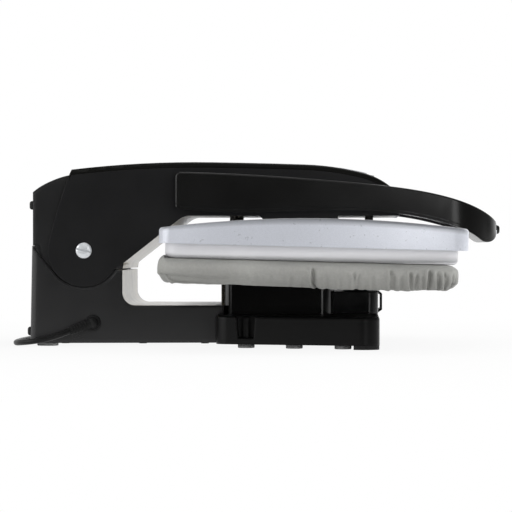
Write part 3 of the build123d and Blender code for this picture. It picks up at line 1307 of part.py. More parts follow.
def cord_gland():
    """Round gland in the housing's near side, with a ball and a tapered boot for the cord."""
    body = cross_rod(GLAND_X, GLAND_Z, GLAND_RADIUS, -SIDE - GLAND_PROUD, -SIDE)
    body = fillet(body.edges().filter_by(GeomType.CIRCLE).sort_by(Axis.Y)[0], 1)
    body += cross_rod(GLAND_X, GLAND_Z, GLAND_SHANK, -SIDE - 1, -INNER_SIDE + WALL)
    start = Vector(GLAND_X, -SIDE - GLAND_PROUD, GLAND_Z)
    body += Pos(*start) * Sphere(GLAND_SHANK)
    length = GLAND_SHANK + BOOT_LENGTH
    cone = Pos(0, 0, length / 2) * Cone(GLAND_SHANK - 0.8, BOOT_TIP_RADIUS, length)
    return body + Plane(origin=start, z_dir=BOOT_WAY) * cone


def coil_place(step):
    """Middle of the cord at a quarter-turn step: in along the lower layer, out along the upper."""
    turn = step / 4
    middle = COIL_TURNS / 2
    pitch = CORD + COIL_GAP
    outermost = COIL_MEAN_RADIUS + pitch * middle / 2
    radius = outermost - pitch * (middle - abs(turn - middle))
    climb = min(max((turn - middle + 0.25) / 0.5, 0), 1)
    rise = climb * climb * (3 - 2 * climb)
    angle = radians(180 - 360 * turn)
    return (COIL_X + radius * cos(angle), COIL_Y + radius * sin(angle), COIL_BED + rise * pitch)


def coil_way(step):
    """Direction of the coil at a step."""
    nudge = 0.01
    return (Vector(coil_place(step + nudge)) - Vector(coil_place(step - nudge))).normalized()


def coil_path():
    """The put-away turns, with a short straight end at each side."""
    steps = round(COIL_TURNS * 4)
    start = Vector(coil_place(0))
    end = Vector(coil_place(steps))
    lead_in = Line(start - coil_way(0) * CORD, start)
    lead_out = Line(end, end + coil_way(steps) * COIL_TAIL)
    return Wire([lead_in] + arc_route(coil_place, steps) + [lead_out])


def coil_self_gap():
    """Least distance between the surfaces of neighbouring turns, on points along the formula."""
    samples = 48
    points = [Vector(coil_place(number / samples * 4)) for number in range(round(COIL_TURNS * samples) + 1)]
    least = min((points[a] - points[b]).length
                for a in range(len(points)) for b in range(a + samples // 2, len(points)))
    return least - CORD


def cord_coil():
    """Length of cord that's put away behind the press."""
    return tube(coil_path(), CORD / 2)


def coil_tie():
    """Strap round the coil's turns."""
    pitch = CORD + COIL_GAP
    spread = pitch * COIL_TURNS / 4 + CORD / 2 + COIL_GAP
    height = CORD + pitch + COIL_GAP * 2
    wall = TIE_WALL
    middle = COIL_BED + pitch / 2
    loop = RectangleRounded(spread * 2 + wall * 2, height + wall * 2, CORD / 2 + wall)
    loop -= RectangleRounded(spread * 2, height, CORD / 2)
    turned = Plane(origin=(COIL_X + TIE_WIDTH / 2, COIL_Y - COIL_MEAN_RADIUS, middle),
                   x_dir=(0, 1, 0), z_dir=(1, 0, 0))
    return extrude(turned * loop, amount=-TIE_WIDTH)


def cord_route():
    """Middle of the cord from the boot, down to the table and round the back, to the coil."""
    tip = boot_tip()
    way = coil_way(0)
    end = Vector(coil_place(0)) - way * CORD
    before = end - way * 22
    dropping = [(-223, -121, 7.4), (-237, -118, 5.2), (-249, -108, 4)]
    laid = [(-255.5, -93.5), (-257, -70), (-258, -33), (-257, 9), (-253.5, 54), (-248.5, 96), (-243, 124)]
    bends = [Vector(*bend) for bend in dropping] + [Vector(x, y, CORD_LAID) for x, y in laid]
    return [tip, tip + BOOT_WAY * 15] + bends + [before, end]


def power_cord():
    """Free stretch of the mains cord."""
    route = [tuple(point) for point in cord_route()]
    radii = corner_radii(route)
    print("cord bend radii:", [round(radius) for radius in radii])
    path = FilletPolyline(*route, radius=radii)
    cord = tube(path, CORD / 2)
    section = pi * (CORD / 2) ** 2
    total = path.length + coil_path().length
    print("cord: free", round(path.length), "coil", round(coil_path().length), "total", round(total))
    print("cord volume over section times length:", round(cord.volume / (section * path.length), 4))
    print("coil: least gap between turns", round(coil_self_gap(), 2), "volume ratio",
          round(cord_coil().volume / (section * coil_path().length), 4))
    return cord


def plug_place():
    """Carries the plug, drawn along X from the cord's entry, to the end of the coil's tail."""
    steps = round(COIL_TURNS * 4)
    way = coil_way(steps)
    end = Vector(coil_place(steps)) + way * COIL_TAIL
    return Plane(origin=end, x_dir=way, z_dir=(0, 0, 1))


def plug():
    """Moulded plug with its tapered neck and finger grooves."""
    place = plug_place()
    neck = Pos(PLUG_NECK / 2, 0, 0) * Rot(0, 90, 0) * Cone(CORD * 0.7, CORD, PLUG_NECK)
    body = Pos(PLUG_NECK + PLUG_LENGTH / 2, 0, 0) * Box(PLUG_LENGTH, PLUG_WIDTH, PLUG_HEIGHT)
    body = fillet(body.edges().filter_by(Axis.X), PLUG_HEIGHT * 0.3)
    body = fillet(body.edges().group_by(Axis.X)[0], PLUG_HEIGHT * 0.25)
    for number in range(PLUG_GROOVES):
        x = PLUG_NECK + PLUG_LENGTH * (0.3 + 0.14 * number)
        for side in (-1, 1):
            body -= Pos(x, side * PLUG_WIDTH / 2, 0) * Box(GROOVE, GROOVE, PLUG_HEIGHT * 0.5)
    return place * (body + neck)


def plug_pins():
    """Two flat blades and a round earth pin."""
    place = plug_place()
    base = PLUG_NECK + PLUG_LENGTH
    pins = []
    for side in (-1, 1):
        pins.append(place * Pos(base + BLADE[0] / 2, side * BLADE_HALF_PITCH, BLADE_RISE) * Box(*BLADE))
    earth = Pos(base + EARTH_LENGTH / 2, 0, -EARTH_DROP) * Rot(0, 90, 0) * Cylinder(EARTH_RADIUS, EARTH_LENGTH)
    pins.append(place * fillet(earth.edges().sort_by(Axis.X)[-1], EARTH_RADIUS * 0.6))
    return Compound(children=[pin.solid() for pin in pins])


NODES = {
    "base_housing": base_housing,
    "base_liner": base_liner,
    "rear_cover": rear_cover,
    "bottom_plate": bottom_plate,
    "hinge_frame": hinge_frame,
    "hinge_axle": hinge_axle,
    "pivot_screws": pivot_screws,
    "lift_springs": lift_springs,
    "pump": pump,
    "pump_saddle": pump_saddle,
    "water_hoses": water_hoses,
    "housing_screws": housing_screws,
    "rear_bumpers": rear_bumpers,
    "rear_feet": rear_feet,
    "pedestal_tray": pedestal_tray,
    "tray_feet": tray_feet,
    "corner_feet": corner_feet,
    "pedestal_block": pedestal_block,
    "tank_valve": tank_valve,
    "tank_runners": tank_runners,
    "board_core": board_core,
    "board_pad": board_pad,
    "water_tank": water_tank,
    "tank_pull": tank_pull,
    "tank_stopper": tank_stopper,
    "heating_plate": heating_plate,
    "chamber_lid": chamber_lid,
    "heating_element": heating_element,
    "thermostat": thermostat,
    "thermal_fuse": thermal_fuse,
    "plate_cover": plate_cover,
    "plate_hangers": plate_hangers,
    "arm_shell": arm_shell,
    "arm_top_cover": arm_top_cover,
    "arm_liner": arm_liner,
    "arm_frame": arm_frame,
    "hinge_bushes": hinge_bushes,
    "control_board": control_board,
    "control_panel": control_panel,
    "lamp_lenses": lamp_lenses,
    "temperature_dial": temperature_dial,
    "power_button": lambda: panel_button(-1),
    "steam_mode_button": lambda: panel_button(1),
    "handle_upper": handle_upper,
    "handle_lower": handle_lower,
    "handle_pins": handle_pins,
    "button_ring": button_ring,
    "steam_button": steam_button,
    "cord_gland": cord_gland,
    "power_cord": power_cord,
    "cord_coil": cord_coil,
    "coil_tie": coil_tie,
    "plug": plug,
    "plug_pins": plug_pins,
}

os.makedirs("parts", exist_ok=True)
for name, make in NODES.items():
    part = make()
    part.label = name
    export_step(part, os.path.join("parts", name + ".step"))
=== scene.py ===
import random
from math import cos, pi, radians, sin

import bmesh
import bpy
import numpy as np
from mathutils import Matrix, Vector, noise


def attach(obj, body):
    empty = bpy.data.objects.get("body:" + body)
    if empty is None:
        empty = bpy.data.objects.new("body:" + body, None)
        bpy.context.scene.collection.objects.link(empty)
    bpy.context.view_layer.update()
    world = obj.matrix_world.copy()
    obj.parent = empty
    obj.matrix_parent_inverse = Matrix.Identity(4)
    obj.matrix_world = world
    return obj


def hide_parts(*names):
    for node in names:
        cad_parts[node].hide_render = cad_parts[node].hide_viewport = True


# A domestic ironing steam press, closed, seen square from its side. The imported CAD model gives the
# rigid mouldings. This script gives them their finishes, fills out a few of them, and makes the padded
# board cover, the mains cord with its ribbed boot, small trim, the printed marks round the dial and the
# studio. Metres, except where sizes are said to be in millimetres, or are turned to metres by MM.

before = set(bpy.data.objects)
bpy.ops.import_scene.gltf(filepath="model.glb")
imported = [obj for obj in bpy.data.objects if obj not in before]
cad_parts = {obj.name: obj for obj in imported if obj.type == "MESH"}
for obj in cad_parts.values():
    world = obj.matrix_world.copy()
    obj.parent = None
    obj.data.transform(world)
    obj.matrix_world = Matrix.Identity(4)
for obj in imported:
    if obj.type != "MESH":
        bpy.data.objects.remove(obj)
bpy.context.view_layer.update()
scene = bpy.context.scene
MM = 0.001


def link(name, mesh):
    """A new object, at the origin, that shows a mesh or curve."""
    made = bpy.data.objects.new(name, mesh)
    scene.collection.objects.link(made)
    return made


# Camera

# A long lens from the side, a little to the right of the press's middle and nearly level with it.
LENS = 191.27
VIEWPOINT = (0.0923356, -2.89216626, 0.100717)
LOOKS_DOWN = 0.162        # degrees
LOOKS_LEFT = 2.03943

camera = bpy.data.cameras.new("camera")
camera.sensor_width = 36
camera.lens = LENS
camera.clip_end = 60
viewer = link("camera", camera)
viewer.location = VIEWPOINT
viewer.rotation_euler = (radians(90 - LOOKS_DOWN), 0, radians(LOOKS_LEFT))
scene.camera = viewer
scene.view_settings.view_transform = "Standard"

# Studio

FLOOR_WHITE = 0.9         # share of plain white in the table, close to the press
FLOOR_REACH = 30
# Lamps round the press: name, place, the point it faces, width, height, watts.
SOFTBOXES = (
    ("overhead_softbox", (-0.1, 0.1, 2.4), (0, 0, 0), 2.6, 2.0, 14),
    ("front_softbox", (-0.3, -2.4, 1.9), (0, 0, 0.1), 1.6, 1.0, 6),
    ("key_softbox", (0.68, -2.25, 0.45), (0.1, -0.3, 0.12), 0.5, 1.0, 5),
    ("left_softbox", (-1.6, -0.9, 0.4), (-0.15, -0.1, 0.12), 1.0, 1.2, 8),
    ("left_strip", (-0.98, -2.19, 0.4), (-0.1, -0.2, 0.1), 0.3, 1.2, 2.0),
    ("back_softbox", (0.4, 2.4, 1.5), (0, 0, 0.1), 1.6, 1.2, 10),
)


def maths(tree, operation, one, other):
    """Two numbers, or the sockets that give them, put together."""
    node = tree.nodes.new("ShaderNodeMath")
    node.operation = operation
    for socket, source in zip(node.inputs, (one, other)):
        if isinstance(source, (int, float)):
            socket.default_value = source
        else:
            tree.links.new(source, socket)
    return node.outputs[0]


def ramp(tree, value, from_low, from_high, low, high):
    """A number that climbs evenly between two ends."""
    node = tree.nodes.new("ShaderNodeMapRange")
    ends = {"From Min": from_low, "From Max": from_high, "To Min": low, "To Max": high}
    for label, number in ends.items():
        node.inputs[label].default_value = number
    tree.links.new(value, node.inputs["Value"])
    return node.outputs["Result"]


def towards(tree, coordinates):
    """A place in the studio, and its left-to-right, front-to-back and upward numbers by axis."""
    place = tree.nodes.new("ShaderNodeTexCoord")
    parts = tree.nodes.new("ShaderNodeSeparateXYZ")
    tree.links.new(place.outputs[coordinates], parts.inputs[0])
    return place.outputs[coordinates], parts.outputs


def white_floor():
    """A pale table that shows as the white background and keeps the press's soft shadow.

    Reflections see it end a little before the press, where the studio is dim."""
    table = bpy.data.meshes.new("studio_floor")
    corners = [(x * FLOOR_REACH, y * FLOOR_REACH, 0) for x, y in ((-1, -1), (1, -1), (1, 1), (-1, 1))]
    table.from_pydata(corners, [], [(0, 1, 2, 3)])
    paint = bpy.data.materials.new("studio_white")
    paint.use_nodes = True
    tree = paint.node_tree
    tree.nodes.clear()
    path = tree.nodes.new("ShaderNodeLightPath")
    place, axes = towards(tree, "Object")
    away = tree.nodes.new("ShaderNodeVectorMath")
    away.operation = "LENGTH"
    tree.links.new(place, away.inputs[0])
    share = ramp(tree, away.outputs["Value"], 0.45, 1.1, FLOOR_WHITE, 1)
    dim = maths(tree, "MULTIPLY", path.outputs["Is Glossy Ray"], ramp(tree, axes["Y"], -0.38, -0.7, 0, 1))
    seen = maths(tree, "MAXIMUM", path.outputs["Is Camera Ray"], path.outputs["Is Transmission Ray"])
    seen = maths(tree, "MAXIMUM", seen, path.outputs["Is Glossy Ray"])
    matt = tree.nodes.new("ShaderNodeBsdfDiffuse")
    tree.links.new(ramp(tree, dim, 0, 1, 0.82, 0.05), matt.inputs["Color"])
    glow = tree.nodes.new("ShaderNodeEmission")
    glow.inputs["Color"].default_value = (1, 1, 1, 1)
    glow.inputs["Strength"].default_value = 1
    mix = tree.nodes.new("ShaderNodeMixShader")
    out = tree.nodes.new("ShaderNodeOutputMaterial")
    bright = maths(tree, "MULTIPLY", share, maths(tree, "SUBTRACT", 1, dim))
    tree.links.new(maths(tree, "MULTIPLY", seen, bright), mix.inputs["Fac"])
    tree.links.new(matt.outputs[0], mix.inputs[1])
    tree.links.new(glow.outputs[0], mix.inputs[2])
    tree.links.new(mix.outputs[0], out.inputs["Surface"])
    table.materials.append(paint)
    ground = link("studio_floor", table)


def white_surroundings(level, overhead, behind_camera, left_wall, right_wall):
    """White all round the press, which lights it at a plain level, more from the right than from above.

    Reflections see the white backdrop behind the press, a white wall on its left, and the dim room in
    front of it."""
    world = bpy.data.worlds.new("studio")
    scene.world = world
    world.use_nodes = True
    tree = world.node_tree
    sky = tree.nodes["Background"]
    sky.inputs["Color"].default_value = (1, 1, 1, 1)
    path = tree.nodes.new("ShaderNodeLightPath")
    glossy = path.outputs["Is Glossy Ray"]
    x, y, z = towards(tree, "Generated")[1]
    rising = ramp(tree, maths(tree, "ABSOLUTE", z, 0), 0, 0.8, level, overhead)
    plain = maths(tree, "MULTIPLY", rising, ramp(tree, x, -1, 1, 0.8, 1.2))
    plain = maths(tree, "ADD", plain, ramp(tree, x, 0.4, 0.95, 0, right_wall))
    backdrop = ramp(tree, y, 0.45, 0.9, 0, 1)
    side_wall = ramp(tree, x, -0.5, -0.75, 0, left_wall)
    mirrored = maths(tree, "MAXIMUM", behind_camera, maths(tree, "MAXIMUM", backdrop, side_wall))
    mirrored = maths(tree, "MULTIPLY", glossy, mirrored)
    plain = maths(tree, "MULTIPLY", maths(tree, "SUBTRACT", 1, glossy), plain)
    seen = maths(tree, "MAXIMUM", path.outputs["Is Camera Ray"], path.outputs["Is Transmission Ray"])
    total = maths(tree, "MAXIMUM", seen, maths(tree, "MAXIMUM", mirrored, plain))
    tree.links.new(total, sky.inputs["Strength"])


def softbox(name, place, aim, width, height, watts):
    """A large soft lamp that faces a point."""
    lamp = bpy.data.lights.new(name, "AREA")
    lamp.shape = "RECTANGLE"
    lamp.size = width
    lamp.size_y = height
    lamp.energy = watts
    stand = link(name, lamp)
    stand.location = place
    stand.rotation_euler = (Vector(aim) - Vector(place)).to_track_quat("-Z", "Y").to_euler()


white_floor()
white_surroundings(level=0.54, overhead=0.3, behind_camera=0.05, left_wall=1.2, right_wall=3.2)
for lamp in SOFTBOXES:
    softbox(*lamp)

# Finishes


class Finish:
    """A material: its shader's fixed numbers, and the patterns that feed its colour and surface."""

    def __init__(self, name, colour, roughness, metallic=0.0, **numbers):
        self.made = bpy.data.materials.new(name)
        self.made.use_nodes = True
        self.made.diffuse_color = (*colour, 1)
        self.tree = self.made.node_tree
        self.shader = self.tree.nodes["Principled BSDF"]
        self.shader.inputs["Base Color"].default_value = (*colour, 1)
        self.shader.inputs["Roughness"].default_value = roughness
        self.shader.inputs["Metallic"].default_value = metallic
        for label, number in numbers.items():
            self.shader.inputs[label.replace("_", " ")].default_value = number
        self.place = self.add("ShaderNodeTexCoord").outputs["Object"]
        self.colour = colour
        self.surface = None

    def add(self, kind, **settings):
        node = self.tree.nodes.new(kind)
        for label, value in settings.items():
            setattr(node, label, value)
        return node

    def feed(self, socket, source):
        self.tree.links.new(source, socket)

    def axes(self):
        """The piece's coordinates one by one."""
        split = self.add("ShaderNodeSeparateXYZ")
        self.feed(split.inputs[0], self.place)
        return split.outputs

    def stretched(self, x, y, z):
        """The piece's coordinates, drawn out along an axis."""
        spread = self.add("ShaderNodeMapping")
        spread.inputs["Scale"].default_value = (x, y, z)
        self.feed(spread.inputs["Vector"], self.place)
        return spread.outputs[0]

    def clouds(self, size, detail=2.0, where=None, rough=0.5):
        """Soft random patches of a size in millimetres."""
        pattern = self.add("ShaderNodeTexNoise")
        pattern.inputs["Scale"].default_value = 1 / (size * MM)
        pattern.inputs["Detail"].default_value = detail
        pattern.inputs["Roughness"].default_value = rough
        self.feed(pattern.inputs["Vector"], where or self.place)
        return pattern.outputs["Fac"]

    def cells(self, size, feature="F1"):
        """Random cells of a size in millimetres, dark at their middles."""
        pattern = self.add("ShaderNodeTexVoronoi", feature=feature)
        pattern.inputs["Scale"].default_value = 1 / (size * MM)
        self.feed(pattern.inputs["Vector"], self.place)
        return pattern

    def tones(self, size):
        """Three random numbers for each cell of a size in millimetres."""
        split = self.add("ShaderNodeSeparateColor")
        self.feed(split.inputs[0], self.cells(size).outputs["Color"])
        return split.outputs

    def waves(self, pitch, axis):
        """Parallel rounded ridges across an axis, with a pitch in millimetres."""
        pattern = self.add("ShaderNodeTexWave", bands_direction=axis, wave_profile="SIN")
        pattern.inputs["Scale"].default_value = 1 / (pitch * MM) * pi / 10
        pattern.inputs["Detail Scale"].default_value = 2
        self.feed(pattern.inputs["Vector"], self.place)
        return pattern.outputs["Fac"]

    def sum(self, one, other, operation="ADD"):
        return maths(self.tree, operation, one, other)

    def span(self, value, low, high, from_low=0.3, from_high=0.7):
        """A pattern turned into numbers between two ends."""
        return ramp(self.tree, value, from_low, from_high, low, high)

    def shades(self, value, low, high, from_low=0.3, from_high=0.7):
        """The finish's colour, times a low share where a pattern is dark and a high one where it's
        light."""
        node = self.add("ShaderNodeMix", data_type="RGBA")
        self.feed(node.inputs["Factor"], self.span(value, 0, 1, from_low, from_high))
        before = self.shader.inputs["Base Color"]
        for label, share in (("A", low), ("B", high)):
            socket = [s for s in node.inputs if s.name == label and s.type == "RGBA"][0]
            if before.is_linked:
                scaled = self.add("ShaderNodeMix", data_type="RGBA", blend_type="MULTIPLY")
                scaled.inputs["Factor"].default_value = 1
                inputs = [s for s in scaled.inputs if s.type == "RGBA"]
                self.feed(inputs[0], before.links[0].from_socket)
                inputs[1].default_value = (share, share, share, 1)
                self.feed(socket, [s for s in scaled.outputs if s.type == "RGBA"][0])
            else:
                socket.default_value = (*(min(c * share, 1) for c in self.colour), 1)
        self.feed(before, [s for s in node.outputs if s.type == "RGBA"][0])

    def roughened(self, value, low, high, from_low=0.3, from_high=0.7):
        self.feed(self.shader.inputs["Roughness"], self.span(value, low, high, from_low, from_high))

    def soft_edges(self, radius):
        """Rounds the shading of sharp edges by a radius in millimetres."""
        node = self.add("ShaderNodeBevel", samples=4)
        node.inputs["Radius"].default_value = radius * MM
        self.surface = node.outputs[0]
        self.feed(self.shader.inputs["Normal"], self.surface)

    def height(self, low, high):
        """A number that climbs from 0 to 1 between two heights in millimetres."""
        return self.span(self.axes()["Z"], 0, 1, low * MM, high * MM)

    def shoulder(self, middle, top, fall, depth, end):
        """1 on the rounded shoulder over a piece's two ends, and 0 elsewhere, in metres: it lies within a
        depth under an arched line, with its middle, its top and its fall, and past an end along Y. It masks
        a painted shade."""
        x, y, z = self.axes()
        along = self.sum(x, middle, "SUBTRACT")
        line = self.sum(top, self.sum(self.sum(along, along, "MULTIPLY"), fall, "MULTIPLY"), "SUBTRACT")
        upper = self.span(self.sum(line, z, "SUBTRACT"), 1, 0, 0.0005, depth)
        outer = self.span(self.sum(y, 0, "ABSOLUTE"), 0, 1, end, end + 0.006)
        return self.sum(upper, outer, "MULTIPLY")

    def relief(self, value, height, strength=1.0):
        """Raises the surface where a pattern is light, by a height in millimetres."""
        node = self.add("ShaderNodeBump")
        node.inputs["Strength"].default_value = strength
        node.inputs["Distance"].default_value = height * MM
        self.feed(node.inputs["Height"], value)
        if self.surface is not None:
            self.feed(node.inputs["Normal"], self.surface)
        self.surface = node.outputs[0]
        self.feed(self.shader.inputs["Normal"], self.surface)


def shade(red, green, blue):
    """A colour as it's seen, from 0 to 255, in the numbers that a shader takes."""
    seen = [c / 255 for c in (red, green, blue)]
    return tuple(((c + 0.055) / 1.055) ** 2.4 if c > 10 / 255 else c / 12.92 for c in seen)


def satin_moulding(name, colour, roughness, level, grain=0.9, depth=0.012, edge=0.5):
    """Injection-moulded plastic with a fine spark-eroded grain and slightly uneven gloss."""
    made = Finish(name, colour, roughness, Specular_IOR_Level=level)
    made.shades(made.clouds(70, 3), 0.9, 1.1)
    made.roughened(made.clouds(40, 3), roughness - 0.03, roughness + 0.04)
    made.soft_edges(edge)
    made.relief(made.clouds(grain, 2, rough=0.6), depth)
    return made.made


def gloss_moulding(name, colour, roughness, level):
    """Polished plastic with a faint ripple from the mould and a thin film of fine scuffs."""
    made = Finish(name, colour, roughness, Specular_IOR_Level=level)
    made.shades(made.clouds(70, 2), 0.9, 1.1)
    made.roughened(made.clouds(60, 2), roughness - 0.02, roughness + 0.03)
    made.soft_edges(0.6)
    made.relief(made.clouds(2.4, 2), 0.002)
    return made.made


def cream_moulding():
    """Cream heat-resistant plastic with a satin grain, a little greyer in patches."""
    made = Finish("cream_moulding", shade(250, 243, 226), 0.22, Specular_IOR_Level=0.5)
    made.shades(made.clouds(42, 3), 0.93, 1.04)
    made.roughened(made.clouds(12, 3), 0.2, 0.27)
    made.soft_edges(0.4)
    made.relief(made.clouds(0.8, 2, rough=0.7), 0.003)
    return made.made


def silver_paint():
    """Silver lacquer over the plate's cover: fine metal flake and slight orange peel, and a painted shade
    along its rounded upper edge at both ends, where it faces the black arm."""
    made = Finish("silver_paint", shade(199, 202, 210), 0.3, metallic=0.2, Specular_IOR_Level=0.5)
    made.shades(made.tones(0.55)[0], 0.95, 1.05, 0, 1)
    made.shades(made.clouds(60, 2), 0.975, 1.02)
    # Painted shade: the colour drops to 0.22 of itself along the upper edge at both ends.
    painted_shade_edge = made.shoulder(middle=0.038, top=0.1295, fall=0.36, depth=0.007, end=0.3)
    made.shades(painted_shade_edge, 1, 0.22, 0, 1)
    made.roughened(made.clouds(5, 3), 0.27, 0.33)
    made.relief(made.clouds(0.7, 2), 0.002, 0.5)
    made.relief(made.clouds(5.5, 1), 0.003, 0.5)
    return made.made


def cast_metal():
    """Cast and turned aluminium: bright skin, tiny pits, faint marks along its length, and a side that
    turns under to the pressing face."""
    made = Finish("cast_metal", shade(219, 219, 222), 0.36, metallic=0.1, Specular_IOR_Level=0.4)
    made.shades(made.clouds(45, 2), 0.97, 1.02)
    made.shades(made.clouds(1.4, 2, made.stretched(0.08, 0.08, 1)), 0.98, 1.01)
    made.roughened(made.clouds(25, 2), 0.34, 0.4)
    made.soft_edges(0.4)
    turned_under = made.height(98, 87)
    made.relief(made.sum(turned_under, turned_under, "MULTIPLY"), -7)
    made.relief(made.clouds(1.2, 2), 0.003)
    return made.made


def zinc_plate():
    """Zinc-plated steel with its faint spangle."""
    made = Finish("zinc_plate", shade(176, 178, 176), 0.34, metallic=1.0)
    spangle = made.tones(4.5)
    made.shades(spangle[0], 0.84, 1.08, 0, 1)
    made.roughened(spangle[1], 0.27, 0.42, 0, 1)
    made.soft_edges(0.3)
    made.relief(made.clouds(1.2, 3), 0.008)
    return made.made


def bright_chrome():
    """Polished plating with hairline polishing marks."""
    made = Finish("bright_chrome", shade(232, 234, 238), 0.12, metallic=1.0)
    made.roughened(made.clouds(1.4, 3, made.stretched(1, 1, 6)), 0.08, 0.18)
    made.soft_edges(0.25)
    made.relief(made.clouds(9, 2), 0.02, 0.5)
    return made.made


def rubber(name, colour, roughness=0.62):
    """Moulded rubber: matt, a little dusty, with a fine sandy surface."""
    made = Finish(name, colour, roughness, Specular_IOR_Level=0.3)
    made.shades(made.clouds(9, 4), 0.85, 1.2)
    made.roughened(made.clouds(4, 3), roughness - 0.06, roughness + 0.08)
    made.soft_edges(0.4)
    made.relief(made.clouds(0.5, 3, rough=0.7), 0.02)
    return made.made


def smoked_tank():
    """Dark see-through plastic of the water tank."""
    made = Finish("smoked_tank", shade(16, 17, 18), 0.12, Transmission_Weight=0.3, IOR=1.4)
    made.shades(made.clouds(40, 2), 0.9, 1.1)
    made.roughened(made.clouds(16, 3), 0.12, 0.24)
    made.soft_edges(0.4)
    made.relief(made.clouds(22, 2), 0.02, 0.5)
    return made.made


def clear_hose():
    """Milky silicone hose."""
    made = Finish("clear_hose", shade(214, 214, 206), 0.3, Transmission_Weight=0.55, IOR=1.41)
    made.shades(made.clouds(8, 2), 0.92, 1.05)
    made.roughened(made.clouds(5, 2), 0.25, 0.38)
    made.relief(made.clouds(3, 2), 0.02)
    return made.made


def plain_plastic(name, colour, roughness=0.45, level=0.45):
    """Small moulded piece in one colour, with an even fine grain."""
    made = Finish(name, colour, roughness, Specular_IOR_Level=level)
    made.shades(made.clouds(14, 3), 0.92, 1.08)
    made.roughened(made.clouds(6, 3), roughness - 0.05, roughness + 0.05)
    made.soft_edges(0.3)
    made.relief(made.clouds(0.7, 2), 0.01)
    return made.made


def circuit_board():
    """Green board with paler copper runs under its lacquer."""
    made = Finish("circuit_board", shade(28, 92, 54), 0.35, Specular_IOR_Level=0.5)
    runs = made.cells(5, "DISTANCE_TO_EDGE").outputs["Distance"]
    made.shades(runs, 1.5, 0.85, 0.04, 0.09)
    made.roughened(made.clouds(6, 3), 0.3, 0.42)
    made.relief(runs, 0.05)
    return made.made


def panel_inlay():
    """Smooth dark grey inlay, brushed lengthways."""
    made = Finish("panel_inlay", shade(92, 94, 98), 0.38, metallic=0.4, Specular_IOR_Level=0.45)
    made.shades(made.clouds(1.2, 3, made.stretched(1, 0.05, 1)), 0.9, 1.1)
    made.roughened(made.clouds(1.5, 2, made.stretched(1, 0.05, 1)), 0.32, 0.45)
    made.soft_edges(0.3)
    made.relief(made.clouds(0.8, 2, made.stretched(1, 0.05, 1)), 0.004)
    return made.made


def silver_knob():
    """Silver-lacquered control with a turned top."""
    made = Finish("silver_knob", shade(190, 192, 198), 0.34, metallic=0.7, Coat_Weight=0.2)
    made.shades(made.clouds(0.6, 2), 0.94, 1.05)
    made.roughened(made.clouds(3, 3), 0.28, 0.4)
    made.soft_edges(0.3)
    made.relief(made.clouds(0.4, 2), 0.004)
    return made.made


def red_lens():
    """Unlit red lamp lens."""
    made = Finish("red_lens", shade(150, 18, 16), 0.12, Transmission_Weight=0.35, IOR=1.5)
    facets = made.cells(0.9).outputs["Distance"]
    made.shades(facets, 0.8, 1.15, 0, 0.6)
    made.relief(facets, 0.05)
    return made.made


def blackened_steel():
    """Oiled black-oxide steel."""
    made = Finish("blackened_steel", shade(34, 33, 31), 0.4, metallic=0.6)
    made.shades(made.clouds(2.5, 3), 0.85, 1.15)
    made.roughened(made.clouds(1.5, 3), 0.34, 0.48)
    made.soft_edges(0.3)
    made.relief(made.clouds(0.6, 2), 0.006)
    return made.made


def screw_plating():
    """Bright nickel over a turned head."""
    made = Finish("screw_plating", shade(226, 229, 232), 0.3, metallic=0.5)
    made.shades(made.clouds(1.4, 2), 0.95, 1.03)
    made.roughened(made.clouds(1.0, 2), 0.27, 0.35)
    made.soft_edges(0.25)
    made.relief(made.clouds(0.5, 2), 0.0008)
    return made.made


def pin_metal():
    """Nickelled brass of the plug's pins."""
    made = Finish("pin_metal", shade(206, 186, 132), 0.24, metallic=1.0)
    made.shades(made.clouds(3, 3), 0.9, 1.08)
    made.roughened(made.clouds(0.8, 2, made.stretched(0.2, 1, 1)), 0.18, 0.34)
    made.soft_edges(0.2)
    made.relief(made.clouds(0.7, 2, made.stretched(0.2, 1, 1)), 0.005)
    return made.made

# Padded board cover

# The cover is shaped lying flat: u along X from its middle, v along Y, w up from its pressing face.
STACK = Matrix.Translation((0.054, 0, 0.088)) @ Matrix.Rotation(radians(1.5), 4, "Y")
PAD_DEPTH = 26.0
NEAR_END = -300.0
SHOE_BACK = -139.2
PLATE_REACH = 313          # half length of the cloth that the plate presses
COVER_MESH = 4.5           # size of the cover's faces before they are divided
SLACK = 1.6                # how far the cover's side starts inside the pad, because it swells
SWELL_MOST = 5.0
SWELL_FRAMES = 20
FRONT_BULGE = 3.4
BACK_BULGE = 2.9
ROLL_RISE = 4.2            # how far the roll along the back stands up beside the plate
ROLL_OUT = 0.8
# Folds on the near end: place along u, lean, width, depth, highest w they reach, sweep at the foot.
NEAR_CREASES = (
    (-98, 0.05, 2.6, 0.5, -11, 0), (-73, -0.05, 2.2, 0.5, -12, 0), (-53.5, -0.08, 2.0, 1.0, -12, 0),
    (-41, 0.06, 1.8, 0.7, -12, 0), (-21, 0.05, 1.7, 1.3, -12, 0), (-9, -0.05, 1.4, 0.9, -14, 0),
    (0.6, 0.03, 1.5, 4.6, -5, 6.5), (13.5, 0.05, 1.3, 0.8, -12, 0), (27, -0.06, 1.3, 0.8, -13, 0),
    (39.6, 0.10, 1.4, 2.2, -8, 0), (44.6, -0.10, 1.3, 1.8, -9, 0), (57, 0.04, 1.3, 0.9, -11, 0),
    (73.0, 0.05, 1.4, 2.4, -5, 0), (75.9, 0.02, 1.3, 1.7, -8, 0), (83.4, -0.05, 1.2, 1.0, -10, 0),
    (90.9, 0.08, 1.4, 2.2, -6, 0), (96.9, -0.08, 1.4, 2.0, -7, 0), (102.3, 0.04, 1.2, 1.2, -9, 0),
    (108.5, -0.02, 1.5, 3.4, -4, 0), (115.6, 0.08, 1.3, 2.0, -6, 0), (118.4, -0.04, 1.2, 1.5, -9, 0),
    (122.4, 0.05, 1.2, 2.0, -6, 0), (125.0, -0.05, 1.1, 1.4, -9, 0), (130.7, 0.05, 1.2, 1.3, -7, 0))
